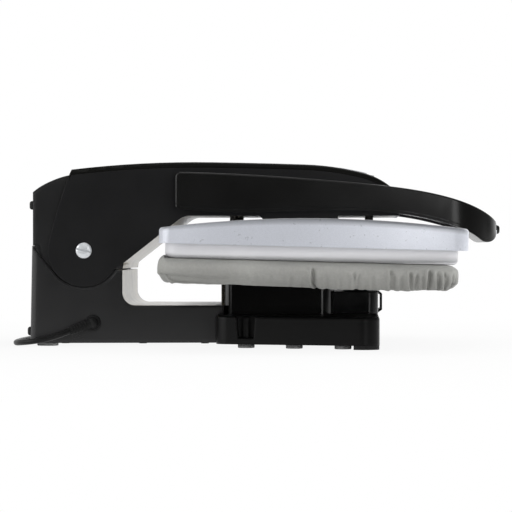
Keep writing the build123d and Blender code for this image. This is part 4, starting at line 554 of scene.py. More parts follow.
# How far the near end's lower edge stands above its straight line: u, rise.
LOWER_EDGE = ((-152, 14), (-146, 12.4), (-141, 11), (-136, 9.6), (-130, 8.4), (-120, 6.3), (-107, 5.0),
              (-85, 3.6), (-72, 3.4), (-58, 2.2), (-47, 1.0), (-36, 0.2), (-21, -0.8), (-8, -1.9),
              (2, -2.2), (8, -3.4), (17, -3.9), (30, -3.2), (40, -2.2), (44, -1.9), (60, -2.8),
              (76, -1.7), (92, -1.5), (108, 0.6), (121, 1.3), (138, 5.0), (146, 7.6))
# How far the near end's lower half is drawn in under its ridge: u, distance.
DRAWN_IN = ((-152, 8.5), (-100, 8.0), (-40, 7.5), (0, 6.0), (40, 4.0), (90, 2.5), (150, 3.5))
# Gathers round the other sides are irregular, from this seed.
GATHER_SEED = 41


def fresh_copy(node):
    """A CAD node's shape as a mesh with its loose triangles joined."""
    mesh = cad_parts[node].data.copy()
    shape = bmesh.new()
    shape.from_mesh(mesh)
    bmesh.ops.remove_doubles(shape, verts=shape.verts, dist=1e-6)
    shape.to_mesh(mesh)
    shape.free()
    mesh.materials.clear()
    return mesh


def settled(made):
    """The object's mesh with its modifiers worked out, in place of the live ones."""
    bpy.context.view_layer.update()
    graph = bpy.context.evaluated_depsgraph_get()
    mesh = bpy.data.meshes.new_from_object(made.evaluated_get(graph))
    made.modifiers.clear()
    made.data = mesh
    return mesh


def points_of(mesh):
    flat = np.empty(len(mesh.vertices) * 3, np.float32)
    mesh.vertices.foreach_get("co", flat)
    return flat.reshape(-1, 3).astype(float)


def set_points(mesh, points):
    mesh.vertices.foreach_set("co", points.astype(np.float32).ravel())
    mesh.update()


def smoothstep(value, low, high):
    step = np.clip((value - low) / (high - low), 0, 1)
    return step * step * (3 - 2 * step)


def outline_of(points):
    """The plan outline of a convex piece, anticlockwise."""
    flat = sorted(set((round(x, 2), round(y, 2)) for x, y in points[:, :2]))

    def half(run):
        line = []
        for p in run:
            while len(line) > 1 and ((line[-1][0] - line[-2][0]) * (p[1] - line[-2][1])
                                     - (line[-1][1] - line[-2][1]) * (p[0] - line[-2][0])) <= 0:
                line.pop()
            line.append(p)
        return line

    return np.array(half(flat)[:-1] + half(flat[::-1])[:-1])


def along_outline(points, corners):
    """For each point: how far inside the outline it is, how far along it, and the way out."""
    starts = corners
    runs = np.roll(corners, -1, 0) - starts
    lengths = np.hypot(runs[:, 0], runs[:, 1])
    before = np.concatenate([[0], np.cumsum(lengths)[:-1]])
    offset = points[:, None, :2] - starts[None]
    share = np.clip((offset * runs).sum(2) / lengths ** 2, 0, 1)
    nearest = starts + share[..., None] * runs
    apart = np.hypot(*np.moveaxis(points[:, None, :2] - nearest, 2, 0))
    best = apart.argmin(1)
    rows = np.arange(len(points))
    inside = apart[rows, best]
    travelled = before[best] + share[rows, best] * lengths[best]
    out = np.stack([runs[best, 1], -runs[best, 0]], 1) / lengths[best, None]
    return inside, travelled, out, lengths.sum()


def swell(made, held):
    """Fills the cover with air, with its held points fixed, as the wadding presses it out."""
    group = made.vertex_groups.new(name="held")
    for index, weight in enumerate(held):
        group.add([index], float(weight), "REPLACE")
    cloth = made.modifiers.new("swell", "CLOTH")
    fabric = cloth.settings
    fabric.quality = 5
    fabric.mass = 0.3
    fabric.tension_stiffness = 18
    fabric.compression_stiffness = 12
    fabric.bending_stiffness = 0.6
    fabric.use_pressure = True
    fabric.uniform_pressure_force = 4
    fabric.vertex_group_mass = "held"
    fabric.effector_weights.gravity = 0
    cloth.point_cache.frame_start = 1
    cloth.point_cache.frame_end = SWELL_FRAMES
    for number in range(1, SWELL_FRAMES + 1):
        scene.frame_set(number)
    settled(made)
    scene.frame_set(1)
    made.vertex_groups.clear()


def crease(along, width):
    """A pinched fold across its line: a sharp furrow with a rolled lip on one side."""
    furrow = np.exp(-(along / width) ** 2)
    lip = 0.55 * np.exp(-((along + 2.1 * width) / (1.5 * width)) ** 2)
    far_lip = 0.3 * np.exp(-((along - 2.6 * width) / (1.9 * width)) ** 2)
    return lip + far_lip - furrow


def rim_folds(points, corners):
    """How far the gathers move each point outwards, in millimetres."""
    inside, travelled, out, total = along_outline(points, corners)
    u, v, w = points.T
    near = smoothstep(-v, -NEAR_END - 8, -NEAR_END + 4) * (out[:, 1] < -0.6)
    moved = np.zeros(len(points))
    for place, lean, width, depth, top, sweep in NEAR_CREASES:
        reach = smoothstep(-w, -top - 1, -top + 5) * smoothstep(inside, 13, 6)
        lower = np.clip(-w + top, 0, 30)
        foot = np.clip((-w - 18) / 8, 0, 1.2)
        line = place + lean * lower + sweep * foot ** 2
        deeper = 1 + 0.5 * smoothstep(u, 30, 80)
        moved += near * reach * depth * deeper * crease((u - line), width)
    # Fine puckers, thick on the right and few on the left.
    fine = random.Random(GATHER_SEED + 1)
    place = -120.0
    while place < 146:
        width = fine.uniform(0.9, 1.4)
        depth = fine.uniform(0.25, 0.7) * (1.0 if place > 30 else 0.6)
        line = place + fine.uniform(-0.1, 0.1) * (-w)
        reach = smoothstep(-w, fine.uniform(12, 19), 26) * smoothstep(inside, 13, 6)
        moved += near * reach * depth * crease(u - line, width)
        place += fine.uniform(3.5, 7) if place > 30 else fine.uniform(8, 17)
    drawn = np.interp(u, *np.array(DRAWN_IN).T)
    moved -= near * drawn * smoothstep(-w, 7, 27) * smoothstep(inside, 14, 6)
    dice = random.Random(GATHER_SEED)
    place = 4.0
    while place < total - 4:
        width = dice.uniform(1.6, 2.6)
        depth = dice.choice((0.5, 0.9, 1.4, 2.2)) * dice.uniform(0.8, 1.2)
        lean = dice.uniform(-0.12, 0.12)
        top = dice.uniform(-14, -6)
        reach = smoothstep(-w, -top - 1, -top + 7) * smoothstep(inside, 13, 6)
        moved += (1 - near) * reach * depth * crease(travelled - place - lean * (-w + top), width)
        place += dice.uniform(9, 34)
    soft = np.array([noise.noise(Vector((a * 0.035, b * 0.035, c * 0.06))) for a, b, c in points])
    moved += soft * 1.5 * smoothstep(inside, 14, 5)
    return moved, out


def lower_edge(points, corners):
    """How far the drawn-in lower edge rises or sags, in millimetres."""
    inside, travelled = along_outline(points, corners)[:2]
    u, v, w = points.T
    near = smoothstep(-v, 270, -NEAR_END)
    told = np.interp(u, *np.array(LOWER_EDGE).T)
    waves = np.array([1.4 * noise.noise(Vector((t * 0.021, 3.7, 1.1)))
                      + 0.5 * noise.noise(Vector((t * 0.09, 8.2, 4.4))) for t in travelled])
    ripple = np.array([0.35 * noise.noise(Vector((t * 0.28, 1.3, 9.1))) for t in travelled])
    low = smoothstep(-w, 14, PAD_DEPTH) * smoothstep(inside, 15, 8)
    return (near * told + (1 - near) * (1.2 + waves) + ripple) * low


def board_cover():
    """The padded cover: swollen rim, drawn-in lower edge with its gathers, flat pressing face."""
    mesh = fresh_copy("board_pad")
    mesh.name = "board_cover"
    mesh.transform(Matrix.Scale(1000, 4) @ STACK.inverted())
    made = link("board_cover", mesh)
    corners = outline_of(points_of(mesh))
    # The solver works in metres; the shape starts a little slack, because it swells.
    points = points_of(mesh)
    inside, _, out, _ = along_outline(points, corners)
    slack = SLACK * smoothstep(inside, 9, 3)
    points[:, :2] -= out * slack[:, None]
    set_points(mesh, points * MM)
    coarse = made.modifiers.new("coarse", "REMESH")
    coarse.mode = "VOXEL"
    coarse.voxel_size = COVER_MESH * MM
    mesh = settled(made)
    start = points_of(mesh) / MM
    inside = along_outline(start, corners)[0]
    pocket = (start[:, 2] < -14) & (inside > 8.5)
    held = np.maximum(smoothstep(inside, 5, 10.5), pocket)
    swell(made, held)
    mesh = made.data
    points = points_of(mesh) / MM
    moved = points - start
    size = np.linalg.norm(moved, axis=1)
    points = start + moved * np.minimum(1, SWELL_MOST / np.maximum(size, 1e-6))[:, None]
    set_points(mesh, points * MM)
    fine = made.modifiers.new("fine", "SUBSURF")
    fine.levels = fine.render_levels = 1
    mesh = settled(made)
    # The near end and the long sides get finer faces, for their folds.
    shape = bmesh.new()
    shape.from_mesh(mesh)
    band = [e for e in shape.edges
            if all(v.co.y < -0.296 and -0.027 < v.co.z < 0.002 for v in e.verts)
            or all(abs(v.co.x) > 0.128 and v.co.z > -0.027 for v in e.verts)]
    bmesh.ops.subdivide_edges(shape, edges=band, cuts=1, use_grid_fill=True, smooth=0.4)
    bmesh.ops.recalc_face_normals(shape, faces=shape.faces)
    shape.to_mesh(mesh)
    shape.free()
    points = points_of(mesh) / MM
    moved, out = rim_folds(points, corners)
    points[:, :2] += out * moved[:, None]
    points[:, 2] += lower_edge(points, corners)
    points[:, 0] += FRONT_BULGE * smoothstep(points[:, 0], 30, 128)
    points[:, 0] -= BACK_BULGE * smoothstep(-points[:, 0], 30, 128)
    # The roll along the back stands up beside the plate.
    back = smoothstep(-points[:, 0], -SHOE_BACK - 1.5, -SHOE_BACK + 3)
    points[:, 2] += back * ROLL_RISE * smoothstep(points[:, 2], -16, -3)
    points[:, 0] -= back * ROLL_OUT
    # The pressing face stays flat, and clear of the plate.
    under = (points[:, 0] > SHOE_BACK - 3.4) & (np.abs(points[:, 1]) < PLATE_REACH)
    points[:, 2] = np.where(under, np.minimum(points[:, 2], 0.0), points[:, 2])
    set_points(mesh, points * MM)
    mesh.transform(STACK)
    for face in mesh.polygons:
        face.use_smooth = True
    mesh.materials.append(pad_cloth())
    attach(made, "base")
    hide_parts("board_pad")
    return made


def pad_cloth():
    """Silver-grey metallised cotton: plain weave, soft sheen, slightly clouded, with a painted shade
    towards its lower edge.
    """
    made = Finish("pad_cloth", shade(156, 156, 152), 0.6, metallic=0.1, Specular_IOR_Level=0.4,
                  Sheen_Weight=0.12, Sheen_Roughness=0.4)
    made.shades(made.clouds(46, 4), 0.9, 1.08)
    made.shades(made.clouds(2.2, 2), 0.96, 1.04)
    # Painted shade: darker towards the bottom, where the cover turns under.
    made.shades(made.axes()["Z"], 0.74, 1.02, 0.062, 0.082)
    made.roughened(made.clouds(9, 3), 0.52, 0.68)
    threads = [made.waves(0.9, axis) for axis in "XYZ"]
    weave = made.sum(made.sum(threads[0], threads[1]), threads[2])
    made.relief(made.clouds(16, 3), 0.7, 0.5)
    made.relief(made.clouds(5, 3, made.stretched(1, 1, 0.4)), 0.35, 0.5)
    made.relief(weave, 0.03)
    return made.made

# Small visible pieces


def shade_smooth(mesh, sharp=28):
    """Smooth shading, except over edges that turn by more than an angle."""
    shape = bmesh.new()
    shape.from_mesh(mesh)
    for face in shape.faces:
        face.smooth = True
    for edge in shape.edges:
        edge.smooth = edge.calc_face_angle(0) < radians(sharp)
    shape.to_mesh(mesh)
    shape.free()


def finished(made, body, finish, material_slot, *nodes):
    """Gives a piece its finish, its body and the CAD nodes that it stands for."""
    made.data.materials.append(finish)
    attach(made, body)
    if nodes:
        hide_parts(*nodes)
    return made


def reshaped(node, move, body, finish, material_slot):
    """A moulding as it really is where its solid is a little plainer: a rule moves its points."""
    mesh = fresh_copy(node)
    mesh.name = node + "_shape"
    points = points_of(mesh) / MM
    set_points(mesh, move(points) * MM)
    shade_smooth(mesh)
    return finished(link(mesh.name, mesh), body, finish, material_slot, node)


def widened(node, back, front, body, finish, material_slot):
    """A piece of the pressing stack, a little wider than its solid at the back and front."""
    def move(points):
        x = points[:, 0]
        points[:, 0] += front * smoothstep(x, 84, 182) - back * smoothstep(-x, -24, 74)
        return points

    return reshaped(node, move, body, finish, material_slot)


def fuller_back(points):
    """The housing's back stands a little further out, and its foot a little lower."""
    x, _, z = points.T
    points[:, 2] -= np.interp(x, (-230, -60), (1.3, 0.7)) * smoothstep(-z, -14, -6)
    points[:, 0] -= 1.5 * smoothstep(-x, 212, 232)
    return points


def fuller_block(points):
    """The pedestal's block reaches further round the tank, and a little further back."""
    points[:, 0] += 10.0 * smoothstep(points[:, 0], 10, 48) - 3.6 * smoothstep(-points[:, 0], 4, 26)
    return points


# The grip's top line, its foot line and how far its top is lifted: x, z or rise, in millimetres.
GRIP_TOP = ((120, 162.6), (131.4, 163.8), (175.5, 155.4), (203, 147), (221, 137.8), (238.4, 124.5))
GRIP_FOOT = ((120, 135), (140.3, 136), (184.2, 127.3), (209.4, 117.8), (222, 109), (238.4, 108))
GRIP_LIFT = ((120, 0), (145, 0.5), (165, 1.0), (185, 1.6), (205, 2.3), (220, 2.8), (238.4, 2.8))


def fuller_grip(points):
    """The handle's grip is rounder along its top than its solid, and reaches a little further."""
    x, _, z = points.T
    top = np.interp(x, *np.array(GRIP_TOP).T)
    foot = np.interp(x, *np.array(GRIP_FOOT).T)
    share = np.clip((z - foot - 4) / np.maximum(top - foot - 6, 1), 0, 1)
    lift = np.interp(x, *np.array(GRIP_LIFT).T) * share * share * (3 - 2 * share)
    points[:, 2] += lift
    points[:, 0] += 2.2 * smoothstep(x, 180, 238)
    return points


def hidden_core(finish):
    """The board's core, with its outer part drawn up inside the cloth."""
    mesh = fresh_copy("board_core")
    mesh.name = "board_core_shape"
    mesh.transform(Matrix.Scale(1000, 4) @ STACK.inverted())
    points = points_of(mesh)
    outer = smoothstep(np.abs(points[:, 1]), 130, 200)
    points[:, 2] += 9.0 * outer * smoothstep(-points[:, 2], 16, 24)
    set_points(mesh, points)
    mesh.transform(STACK @ Matrix.Scale(MM, 4))
    shade_smooth(mesh)
    return finished(link(mesh.name, mesh), "base", finish, "board_plastic", "board_core")


def rounded_block(low, high, radius):
    """A block between two corners in millimetres, with all its edges rounded."""
    shape = bmesh.new()
    bmesh.ops.create_cube(shape, size=1)
    for vert in shape.verts:
        vert.co = [(a + b) / 2 + c * (b - a) for a, b, c in zip(low, high, vert.co)]
    bmesh.ops.bevel(shape, geom=shape.edges[:], offset=radius, segments=5, profile=0.5, affect="EDGES")
    return shape


def prism(outline, y_from, y_to, radius):
    """A side-view outline in millimetres carried across the press, with its long edges eased."""
    shape = bmesh.new()
    near = [shape.verts.new((x, y_from, z)) for x, z in outline]
    far = [shape.verts.new((x, y_to, z)) for x, z in outline]
    shape.faces.new(near)
    shape.faces.new(far[::-1])
    count = len(outline)
    for number in range(count):
        after = (number + 1) % count
        shape.faces.new((near[after], near[number], far[number], far[after]))
    bmesh.ops.recalc_face_normals(shape, faces=shape.faces)
    if radius:
        bmesh.ops.bevel(shape, geom=shape.edges[:], offset=radius, segments=2, profile=0.5, affect="EDGES")
    return shape


def gathered(name, shapes):
    """Several shapes in millimetres as one object."""
    whole = bmesh.new()
    for shape in shapes:
        part = bpy.data.meshes.new("part")
        shape.to_mesh(part)
        shape.free()
        whole.from_mesh(part)
        bpy.data.meshes.remove(part)
    mesh = bpy.data.meshes.new(name)
    bmesh.ops.scale(whole, vec=(MM, MM, MM), verts=whole.verts)
    whole.to_mesh(mesh)
    whole.free()
    shade_smooth(mesh, 35)
    return link(name, mesh)


HINGE_X = -184.5
HINGE_Z = 98.4
BUTTON_Z = 120.4           # middle of the steam button and its ring
BUTTON_LENGTH = 46
BUTTON_HEIGHT = 9.4
HEAD_FACE = 100.05         # where the screw heads stand on the cheeks
SLOT_TURN = 14             # degrees


def back_bumpers(finish):
    """Two round-ended rubber bars across the back, which it leans on when it's stood away."""
    bars = [rounded_block((-243.6, -93, 10.6), (-237.6, 93, 19.8), 2.7),
            rounded_block((-241.6, -93, 140.6), (-235.2, 93, 149.6), 2.7)]
    for bar in bars:
        bmesh.ops.recalc_face_normals(bar, faces=bar.faces)
    return finished(gathered("back_bumpers", bars), "base", finish, "rubber_black", "rear_bumpers")


def arm_toes(shell, liner):
    """Foot of the arm's cheeks and of its cream slant, down to the seam over the column."""
    cheek = [(-152.9, 79.6), (-144.7, 79.6), (-143.2, 86.4), (-148, 92), (-154, 90)]
    sides = [prism(cheek, side * 96.9, side * 99.95, 0.25) for side in (-1, 1)]
    finished(gathered("arm_toes", sides), "arm", shell, "housing_black")
    strip = [(-148.6, 79.8), (-144.8, 79.8), (-143.1, 86.6), (-146.3, 88.6)]
    slant = gathered("arm_liner_toe", [prism(strip, -96.7, 96.7, 0.2)])
    return finished(slant, "arm", liner, "liner_cream")


def seam_lips(shell):
    """Dark lips that close the housing behind the seam under the rear cover."""
    outline = [(-236.4, 84), (-226, 84), (-226, 104.4), (-235.9, 104.4)]
    sides = [prism(outline, side * 92.6, side * 96.2, 0.2) for side in (-1, 1)]
    sides.append(prism([(-236.6, 96), (-233.2, 96), (-233.2, 104.6), (-236.2, 104.6)], -93, 93, 0.2))
    return finished(gathered("seam_lips", sides), "base", shell, "housing_black")


def oval_loops(profile, closed):
    """A round-ended oval drawn along X: each step of its profile has a place and an offset outwards."""
    shape = bmesh.new()
    steps = 24
    straight = (BUTTON_LENGTH - BUTTON_HEIGHT) / 2
    loops = []
    for x, offset in profile:
        radius = BUTTON_HEIGHT / 2 + offset
        loop = []
        for side in (1, -1):
            for number in range(steps + 1):
                angle = pi * number / steps - pi / 2
                loop.append(shape.verts.new((x, side * (straight + radius * cos(angle)),
                                             side * radius * sin(angle))))
        loops.append(loop)
    pairs = list(zip(loops, loops[1:])) + ([(loops[-1], loops[0])] if closed else [])
    for one, other in pairs:
        for number in range(len(one)):
            after = (number + 1) % len(one)
            shape.faces.new((one[number], one[after], other[after], other[number]))
    if not closed:
        shape.faces.new(loops[0])
        shape.faces.new(loops[-1])
    bmesh.ops.recalc_face_normals(shape, faces=shape.faces)
    bmesh.ops.translate(shape, vec=(0, 0, BUTTON_Z), verts=shape.verts)
    return shape


def grip_button(ring_finish, button_finish):
    """The steam button in the grip's end, standing out of its bright ring."""
    ring = [(228, 0.4), (228, 1.35), (239.6, 1.35), (239.8, 1.9), (241.8, 1.85), (243.0, 1.6),
            (243.6, 1.15), (243.5, 0.7), (243.0, 0.45)]
    made = gathered("chrome_ring", [oval_loops(ring, True)])
    finished(made, "handle", ring_finish, "chrome_bright", "button_ring")
    button = [(232.2, 0), (244.2, 0), (245.4, -0.35), (246.2, -1.1), (246.7, -2.2), (246.8, -3.4)]
    made = gathered("grip_steam_button", [oval_loops(button, False)])
    return finished(made, "steam_button", button_finish, "handle_black", "steam_button")


def slotted_heads(finish):
    """Domed screw heads with a wide slot, at both ends of the hinge."""
    profile = [(8.15, 0.0), (8.15, 0.55), (7.9, 0.85), (7.2, 1.35), (6.0, 1.8), (4.2, 2.15), (2.2, 2.32)]
    heads = []
    for side in (-1, 1):
        shape = bmesh.new()
        steps = 48
        loops = []
        for radius, rise in profile:
            angles = [2 * pi * n / steps for n in range(steps)]
            loops.append([shape.verts.new((HINGE_X + radius * cos(angle), side * (HEAD_FACE + rise),
                                           HINGE_Z + radius * sin(angle))) for angle in angles])
        for one, other in zip(loops, loops[1:]):
            for n in range(steps):
                shape.faces.new((one[n], one[(n + 1) % steps], other[(n + 1) % steps], other[n]))
        shape.faces.new(loops[0])
        shape.faces.new(loops[-1])
        shank = bmesh.ops.create_cone(shape, cap_ends=True, segments=24, radius1=3, radius2=3, depth=14)
        turn = Matrix.Translation((HINGE_X, side * 93, HINGE_Z)) @ Matrix.Rotation(radians(90), 4, "X")
        bmesh.ops.transform(shape, matrix=turn, verts=shank["verts"])
        bmesh.ops.recalc_face_normals(shape, faces=shape.faces)
        heads.append(shape)
    made = gathered("slotted_screws", heads)
    cuts = []
    for side in (-1, 1):
        cut = bmesh.new()
        bmesh.ops.create_cube(cut, size=1)
        place = Matrix.Translation((HINGE_X, side * 102.4, HINGE_Z))
        turn = Matrix.Rotation(radians(-SLOT_TURN * side), 4, "Y")
        size = Matrix.Diagonal((20, 3.0, 1.9, 1))
        bmesh.ops.transform(cut, matrix=place @ turn @ size, verts=cut.verts)
        cuts.append(cut)
    knife = gathered("slots", cuts)
    slot = made.modifiers.new("slot", "BOOLEAN")
    slot.operation = "DIFFERENCE"
    slot.solver = "EXACT"
    slot.object = knife
    settled(made)
    bpy.data.objects.remove(knife)
    shade_smooth(made.data, 35)
    return finished(made, "base", finish, "chrome_bright", "pivot_screws")

# Mains cord

CORD = 6.0                 # diameter
GLAND = Vector((-175.2, -103.0, 24.1))
BOOT_WAY = Vector((-0.86, -0.4, -0.32)).normalized()
BOOT_LENGTH = 26.0
CORD_LAID = 3.3
COIL_MIDDLE = Vector((-196.0, 172.0))
COIL_PITCH = 6.7
COIL_TURNS = 6.25
COIL_OUTERMOST = 33.5 + COIL_PITCH * COIL_TURNS / 4
COIL_BED = 4.4
POINTS_PER_TURN = 16


def coil_place(turn):
    """Middle of the cord in its put-away turns: in along the lower layer, out along the upper."""
    middle = COIL_TURNS / 2
    radius = COIL_OUTERMOST - COIL_PITCH * (middle - abs(turn - middle))
    climb = min(max((turn - middle + 0.25) / 0.5, 0), 1)
    rise = climb * climb * (3 - 2 * climb)
    angle = radians(180 - 360 * turn)
    return Vector((COIL_MIDDLE.x + radius * cos(angle), COIL_MIDDLE.y + radius * sin(angle),
                   COIL_BED + rise * COIL_PITCH))


def coil_way(turn):
    return (coil_place(turn + 0.002) - coil_place(turn - 0.002)).normalized()


def cord_route():
    """From inside the boot, down to the table, round the back and into the coil."""
    tip = GLAND + BOOT_WAY * BOOT_LENGTH
    end = coil_place(0) - coil_way(0) * CORD
    before = end - coil_way(0) * 22
    laid = [(-255.5, -93.5), (-257, -70), (-258, -33), (-257, 9), (-253.5, 54), (-248.5, 96),
            (-243, 124)]
    route = [GLAND + BOOT_WAY * (BOOT_LENGTH - 6), tip, tip + BOOT_WAY * 15]
    route += [Vector(p) for p in ((-223, -121, 7.4), (-237, -118, 5.2), (-249, -108, 4))]
    route += [Vector((x, y, CORD_LAID)) for x, y in laid] + [before, end]
    steps = round(COIL_TURNS * POINTS_PER_TURN)
    route += [coil_place(number / POINTS_PER_TURN) for number in range(steps + 1)]
    last = route[-1]
    return route + [last + coil_way(COIL_TURNS) * 13, last + coil_way(COIL_TURNS) * 27]


def cord_sheath():
    """Black round flexible cord: satin, with a faint lengthways draw from its making."""
    made = Finish("cord_sheath", shade(13, 13, 13), 0.36, Specular_IOR_Level=0.2)
    made.shades(made.clouds(30, 3), 0.85, 1.15)
    made.roughened(made.clouds(5, 3), 0.32, 0.44)
    made.relief(made.clouds(2.2, 2), 0.015)
    made.relief(made.clouds(0.5, 2), 0.008)
    return made.made


def mains_cord(sheath):
    """The cord on one smooth line, from the boot to the plug."""
    line = bpy.data.curves.new("mains_cord", "CURVE")
    line.dimensions = "3D"
    line.bevel_depth = CORD / 2 * MM
    line.bevel_resolution = 5
    line.resolution_u = 5
    line.use_fill_caps = True
    spline = line.splines.new("NURBS")
    route = cord_route()
    spline.points.add(len(route) - 1)
    for point, place in zip(spline.points, route):
        point.co = (*(place * MM), 1)
    spline.order_u = 3
    spline.use_endpoint_u = True
    line.materials.append(sheath)
    made = link("mains_cord", line)
    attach(made, "base")
    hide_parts("power_cord", "cord_coil")
    return made


def group_input(tree, name, kind, value):
    socket = tree.interface.new_socket(name=name, in_out="INPUT", socket_type=kind)
    socket.default_value = value
    return socket


def repeated(name, build, inputs, finish):
    """Runs a tree of geometry nodes on an empty mesh and keeps its result as a plain mesh."""
    tree = bpy.data.node_groups.new(name, "GeometryNodeTree")
    sockets = {label: group_input(tree, label, kind, value) for label, (kind, value) in inputs.items()}
    tree.interface.new_socket(name="Geometry", in_out="OUTPUT", socket_type="NodeSocketGeometry")
    entry = tree.nodes.new("NodeGroupInput")
    leave = tree.nodes.new("NodeGroupOutput")

    def add(kind, **settings):
        node = tree.nodes.new(kind)
        for label, value in settings.items():
            setattr(node, label, value)
        return node

    last = build(tree, entry, add)
    real = add("GeometryNodeRealizeInstances")
    dress = add("GeometryNodeSetMaterial")
    dress.inputs["Material"].default_value = finish
    tree.links.new(last, real.inputs[0])
    tree.links.new(real.outputs[0], dress.inputs["Geometry"])
    tree.links.new(dress.outputs[0], leave.inputs[0])
    made = link(name, bpy.data.meshes.new(name))
    run = made.modifiers.new("build", "NODES")
    run.node_group = tree
    for label, (kind, value) in inputs.items():
        run[sockets[label].identifier] = value
    settled(made)
    return made


def boot_rings(tree, entry, add):
    """Rings along a line, each a little smaller than the last."""
    line = add("GeometryNodeMeshLine", mode="OFFSET")
    ring = add("GeometryNodeCurvePrimitiveCircle", mode="RADIUS")
    ring.inputs["Resolution"].default_value = 40
    section = add("GeometryNodeCurvePrimitiveCircle", mode="RADIUS")
    section.inputs["Resolution"].default_value = 12
    sweep = add("GeometryNodeCurveToMesh")
    place = add("GeometryNodeInstanceOnPoints")
    number = add("GeometryNodeInputIndex")
    shrink = add("ShaderNodeMath", operation="MULTIPLY_ADD")
    shrink.inputs[2].default_value = 1.0
    wires = ((entry.outputs["Rings"], line.inputs["Count"]), (entry.outputs["Step"], line.inputs["Offset"]),
             (entry.outputs["Radius"], ring.inputs["Radius"]),
             (entry.outputs["Rib"], section.inputs["Radius"]),
             (ring.outputs[0], sweep.inputs["Curve"]), (section.outputs[0], sweep.inputs["Profile Curve"]),
             (line.outputs[0], place.inputs["Points"]), (sweep.outputs[0], place.inputs["Instance"]),
             (number.outputs[0], shrink.inputs[0]), (entry.outputs["Taper"], shrink.inputs[1]),
             (shrink.outputs[0], place.inputs["Scale"]))
    for source, target in wires:
        tree.links.new(source, target)
    return place.outputs[0]


def boot_ribs(finish):
    """The bend-relief ribs on the cord's tapered boot."""
    made = repeated("boot_ribs", boot_rings, {
        "Rings": ("NodeSocketInt", 6), "Step": ("NodeSocketVector", (0, 0, 0.0031)),
        "Radius": ("NodeSocketFloat", 0.00495), "Rib": ("NodeSocketFloat", 0.0007),
        "Taper": ("NodeSocketFloat", -0.022)}, finish)
    turn = BOOT_WAY.to_track_quat("Z", "Y").to_matrix().to_4x4()
    made.data.transform(Matrix.Translation((GLAND + BOOT_WAY * 8.5) * MM) @ turn)
    for face in made.data.polygons:
        face.use_smooth = True
    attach(made, "base")
    return made


# Marks round the dial

PANEL = Matrix.Translation((0.092, 0, 0.1806)) @ Matrix.Rotation(radians(11.6), 4, "Y")


def scale_marks(tree, entry, add):
    """Short bars set out on an arc."""
    arc = add("GeometryNodeCurveArc", mode="RADIUS")
    spots = add("GeometryNodeCurveToPoints", mode="COUNT")
    bar = add("GeometryNodeMeshCube")
    place = add("GeometryNodeInstanceOnPoints")
    wires = ((entry.outputs["Radius"], arc.inputs["Radius"]),
             (entry.outputs["Start"], arc.inputs["Start Angle"]),
             (entry.outputs["Sweep"], arc.inputs["Sweep Angle"]), (arc.outputs[0], spots.inputs["Curve"]),
             (entry.outputs["Marks"], spots.inputs["Count"]), (entry.outputs["Bar"], bar.inputs["Size"]),
             (spots.outputs["Points"], place.inputs["Points"]), (bar.outputs[0], place.inputs["Instance"]),
             (spots.outputs["Rotation"], place.inputs["Rotation"]))
    for source, target in wires:
        tree.links.new(source, target)
    arc.inputs["Resolution"].default_value = 128
    return place.outputs[0]


def dial_marks(finish):
    """Printed ticks on the panel round the temperature dial."""
    made = repeated("dial_marks", scale_marks, {
        "Radius": ("NodeSocketFloat", 0.0176), "Start": ("NodeSocketFloat", radians(45)),
        "Sweep": ("NodeSocketFloat", radians(270)), "Marks": ("NodeSocketInt", 16),
        "Bar": ("NodeSocketVector", (0.0017, 0.00045, 0.0001))}, finish)
    made.data.transform(PANEL @ Matrix.Translation((0, 0, 0.00005)))
    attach(made, "arm")
    return made


def printed_white():
    """Pale printing ink."""
    made = Finish("printed_white", shade(214, 216, 218), 0.5, Specular_IOR_Level=0.4)
    made.shades(made.clouds(0.8, 2), 0.92, 1.05)
    made.relief(made.clouds(0.3, 2), 0.002)
    return made.made

# Dressing the model

black = satin_moulding("housing_moulding", shade(22, 22, 23), 0.3, 0.5, edge=5)
arm_black = satin_moulding("arm_moulding", shade(20, 20, 21), 0.34, 0.28, edge=1.0)
top_black = satin_moulding("top_moulding", shade(11, 11, 9), 0.34, 0.1, 0.7, 0.004)
tray_black = satin_moulding("tray_moulding", shade(11, 11, 11), 0.3, 0.13, edge=3)
gloss_black = gloss_moulding("column_moulding", shade(1, 1, 1), 0.1, 0.5)
handle_gloss = gloss_moulding("handle_moulding", shade(9, 9, 8), 0.24, 0.42)
cream = cream_moulding()
zinc = zinc_plate()
chrome = bright_chrome()
dark_rubber = rubber("dark_rubber", shade(13, 13, 13))
grey_rubber = rubber("grey_rubber", shade(170, 170, 170))
bumper_rubber = rubber("bumper_rubber", shade(26, 27, 26))
silver = silver_paint()
shoe_metal = cast_metal()
core_plastic = plain_plastic("board_plastic", shade(60, 60, 60))
knob = silver_knob()
sheath = cord_sheath()
white_part = plain_plastic("white_part", shade(222, 220, 212))

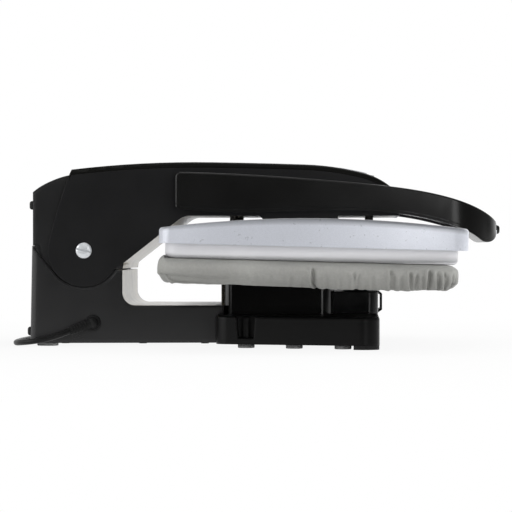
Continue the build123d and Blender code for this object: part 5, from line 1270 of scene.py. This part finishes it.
FINISHES = {
    black: ("base_housing", "rear_cover", "tank_runners"),
    arm_black: ("arm_shell",),
    top_black: ("arm_top_cover",),
    tray_black: ("pedestal_tray", "tank_pull"),
    gloss_black: ("pedestal_block",),
    handle_gloss: ("handle_upper", "handle_lower", "steam_button"),
    cream: ("base_liner", "arm_liner"),
    zinc: ("bottom_plate", "hinge_frame", "hinge_axle", "lift_springs", "chamber_lid",
           "heating_element", "arm_frame", "handle_pins"),
    blackened_steel(): ("housing_screws", "plate_hangers"),
    chrome: ("pivot_screws", "button_ring"),
    dark_rubber: ("pump_saddle", "corner_feet", "tank_valve", "tank_stopper", "cord_gland", "coil_tie"),
    grey_rubber: ("rear_feet", "tray_feet"),
    bumper_rubber: ("rear_bumpers",),
    white_part: ("hinge_bushes", "thermostat", "thermal_fuse"),
    plain_plastic("pump_housing", shade(60, 62, 66)): ("pump",),
    core_plastic: ("board_core",),
    smoked_tank(): ("water_tank",),
    clear_hose(): ("water_hoses",),
    silver: ("plate_cover",),
    shoe_metal: ("heating_plate",),
    circuit_board(): ("control_board",),
    panel_inlay(): ("control_panel",),
    red_lens(): ("lamp_lenses",),
    knob: ("temperature_dial", "power_button", "steam_mode_button"),
    plain_plastic("plug_moulding", shade(24, 24, 24), 0.4, 0.35): ("plug",),
    pin_metal(): ("plug_pins",),
}
for paint, names in FINISHES.items():
    for name in names:
        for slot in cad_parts[name].material_slots:
            slot.material = paint

board_cover()
hidden_core(core_plastic)
widened("plate_cover", back=2.2, front=0.9, body="arm", finish=silver, material_slot="cover_silver")
widened("heating_plate", back=2.8, front=1.3, body="arm", finish=shoe_metal, material_slot="shoe_aluminium")
reshaped("base_housing", fuller_back, "base", black, "housing_black")
reshaped("rear_cover", fuller_back, "base", black, "housing_black")
reshaped("pedestal_block", fuller_block, "base", gloss_black, "block_black")
reshaped("handle_upper", fuller_grip, "handle", handle_gloss, "handle_black")
reshaped("handle_lower", fuller_grip, "handle", handle_gloss, "handle_black")
back_bumpers(bumper_rubber)
arm_toes(arm_black, cream)
seam_lips(black)
grip_button(chrome, handle_gloss)
slotted_heads(screw_plating())
mains_cord(sheath)
boot_ribs(dark_rubber)
dial_marks(printed_white())
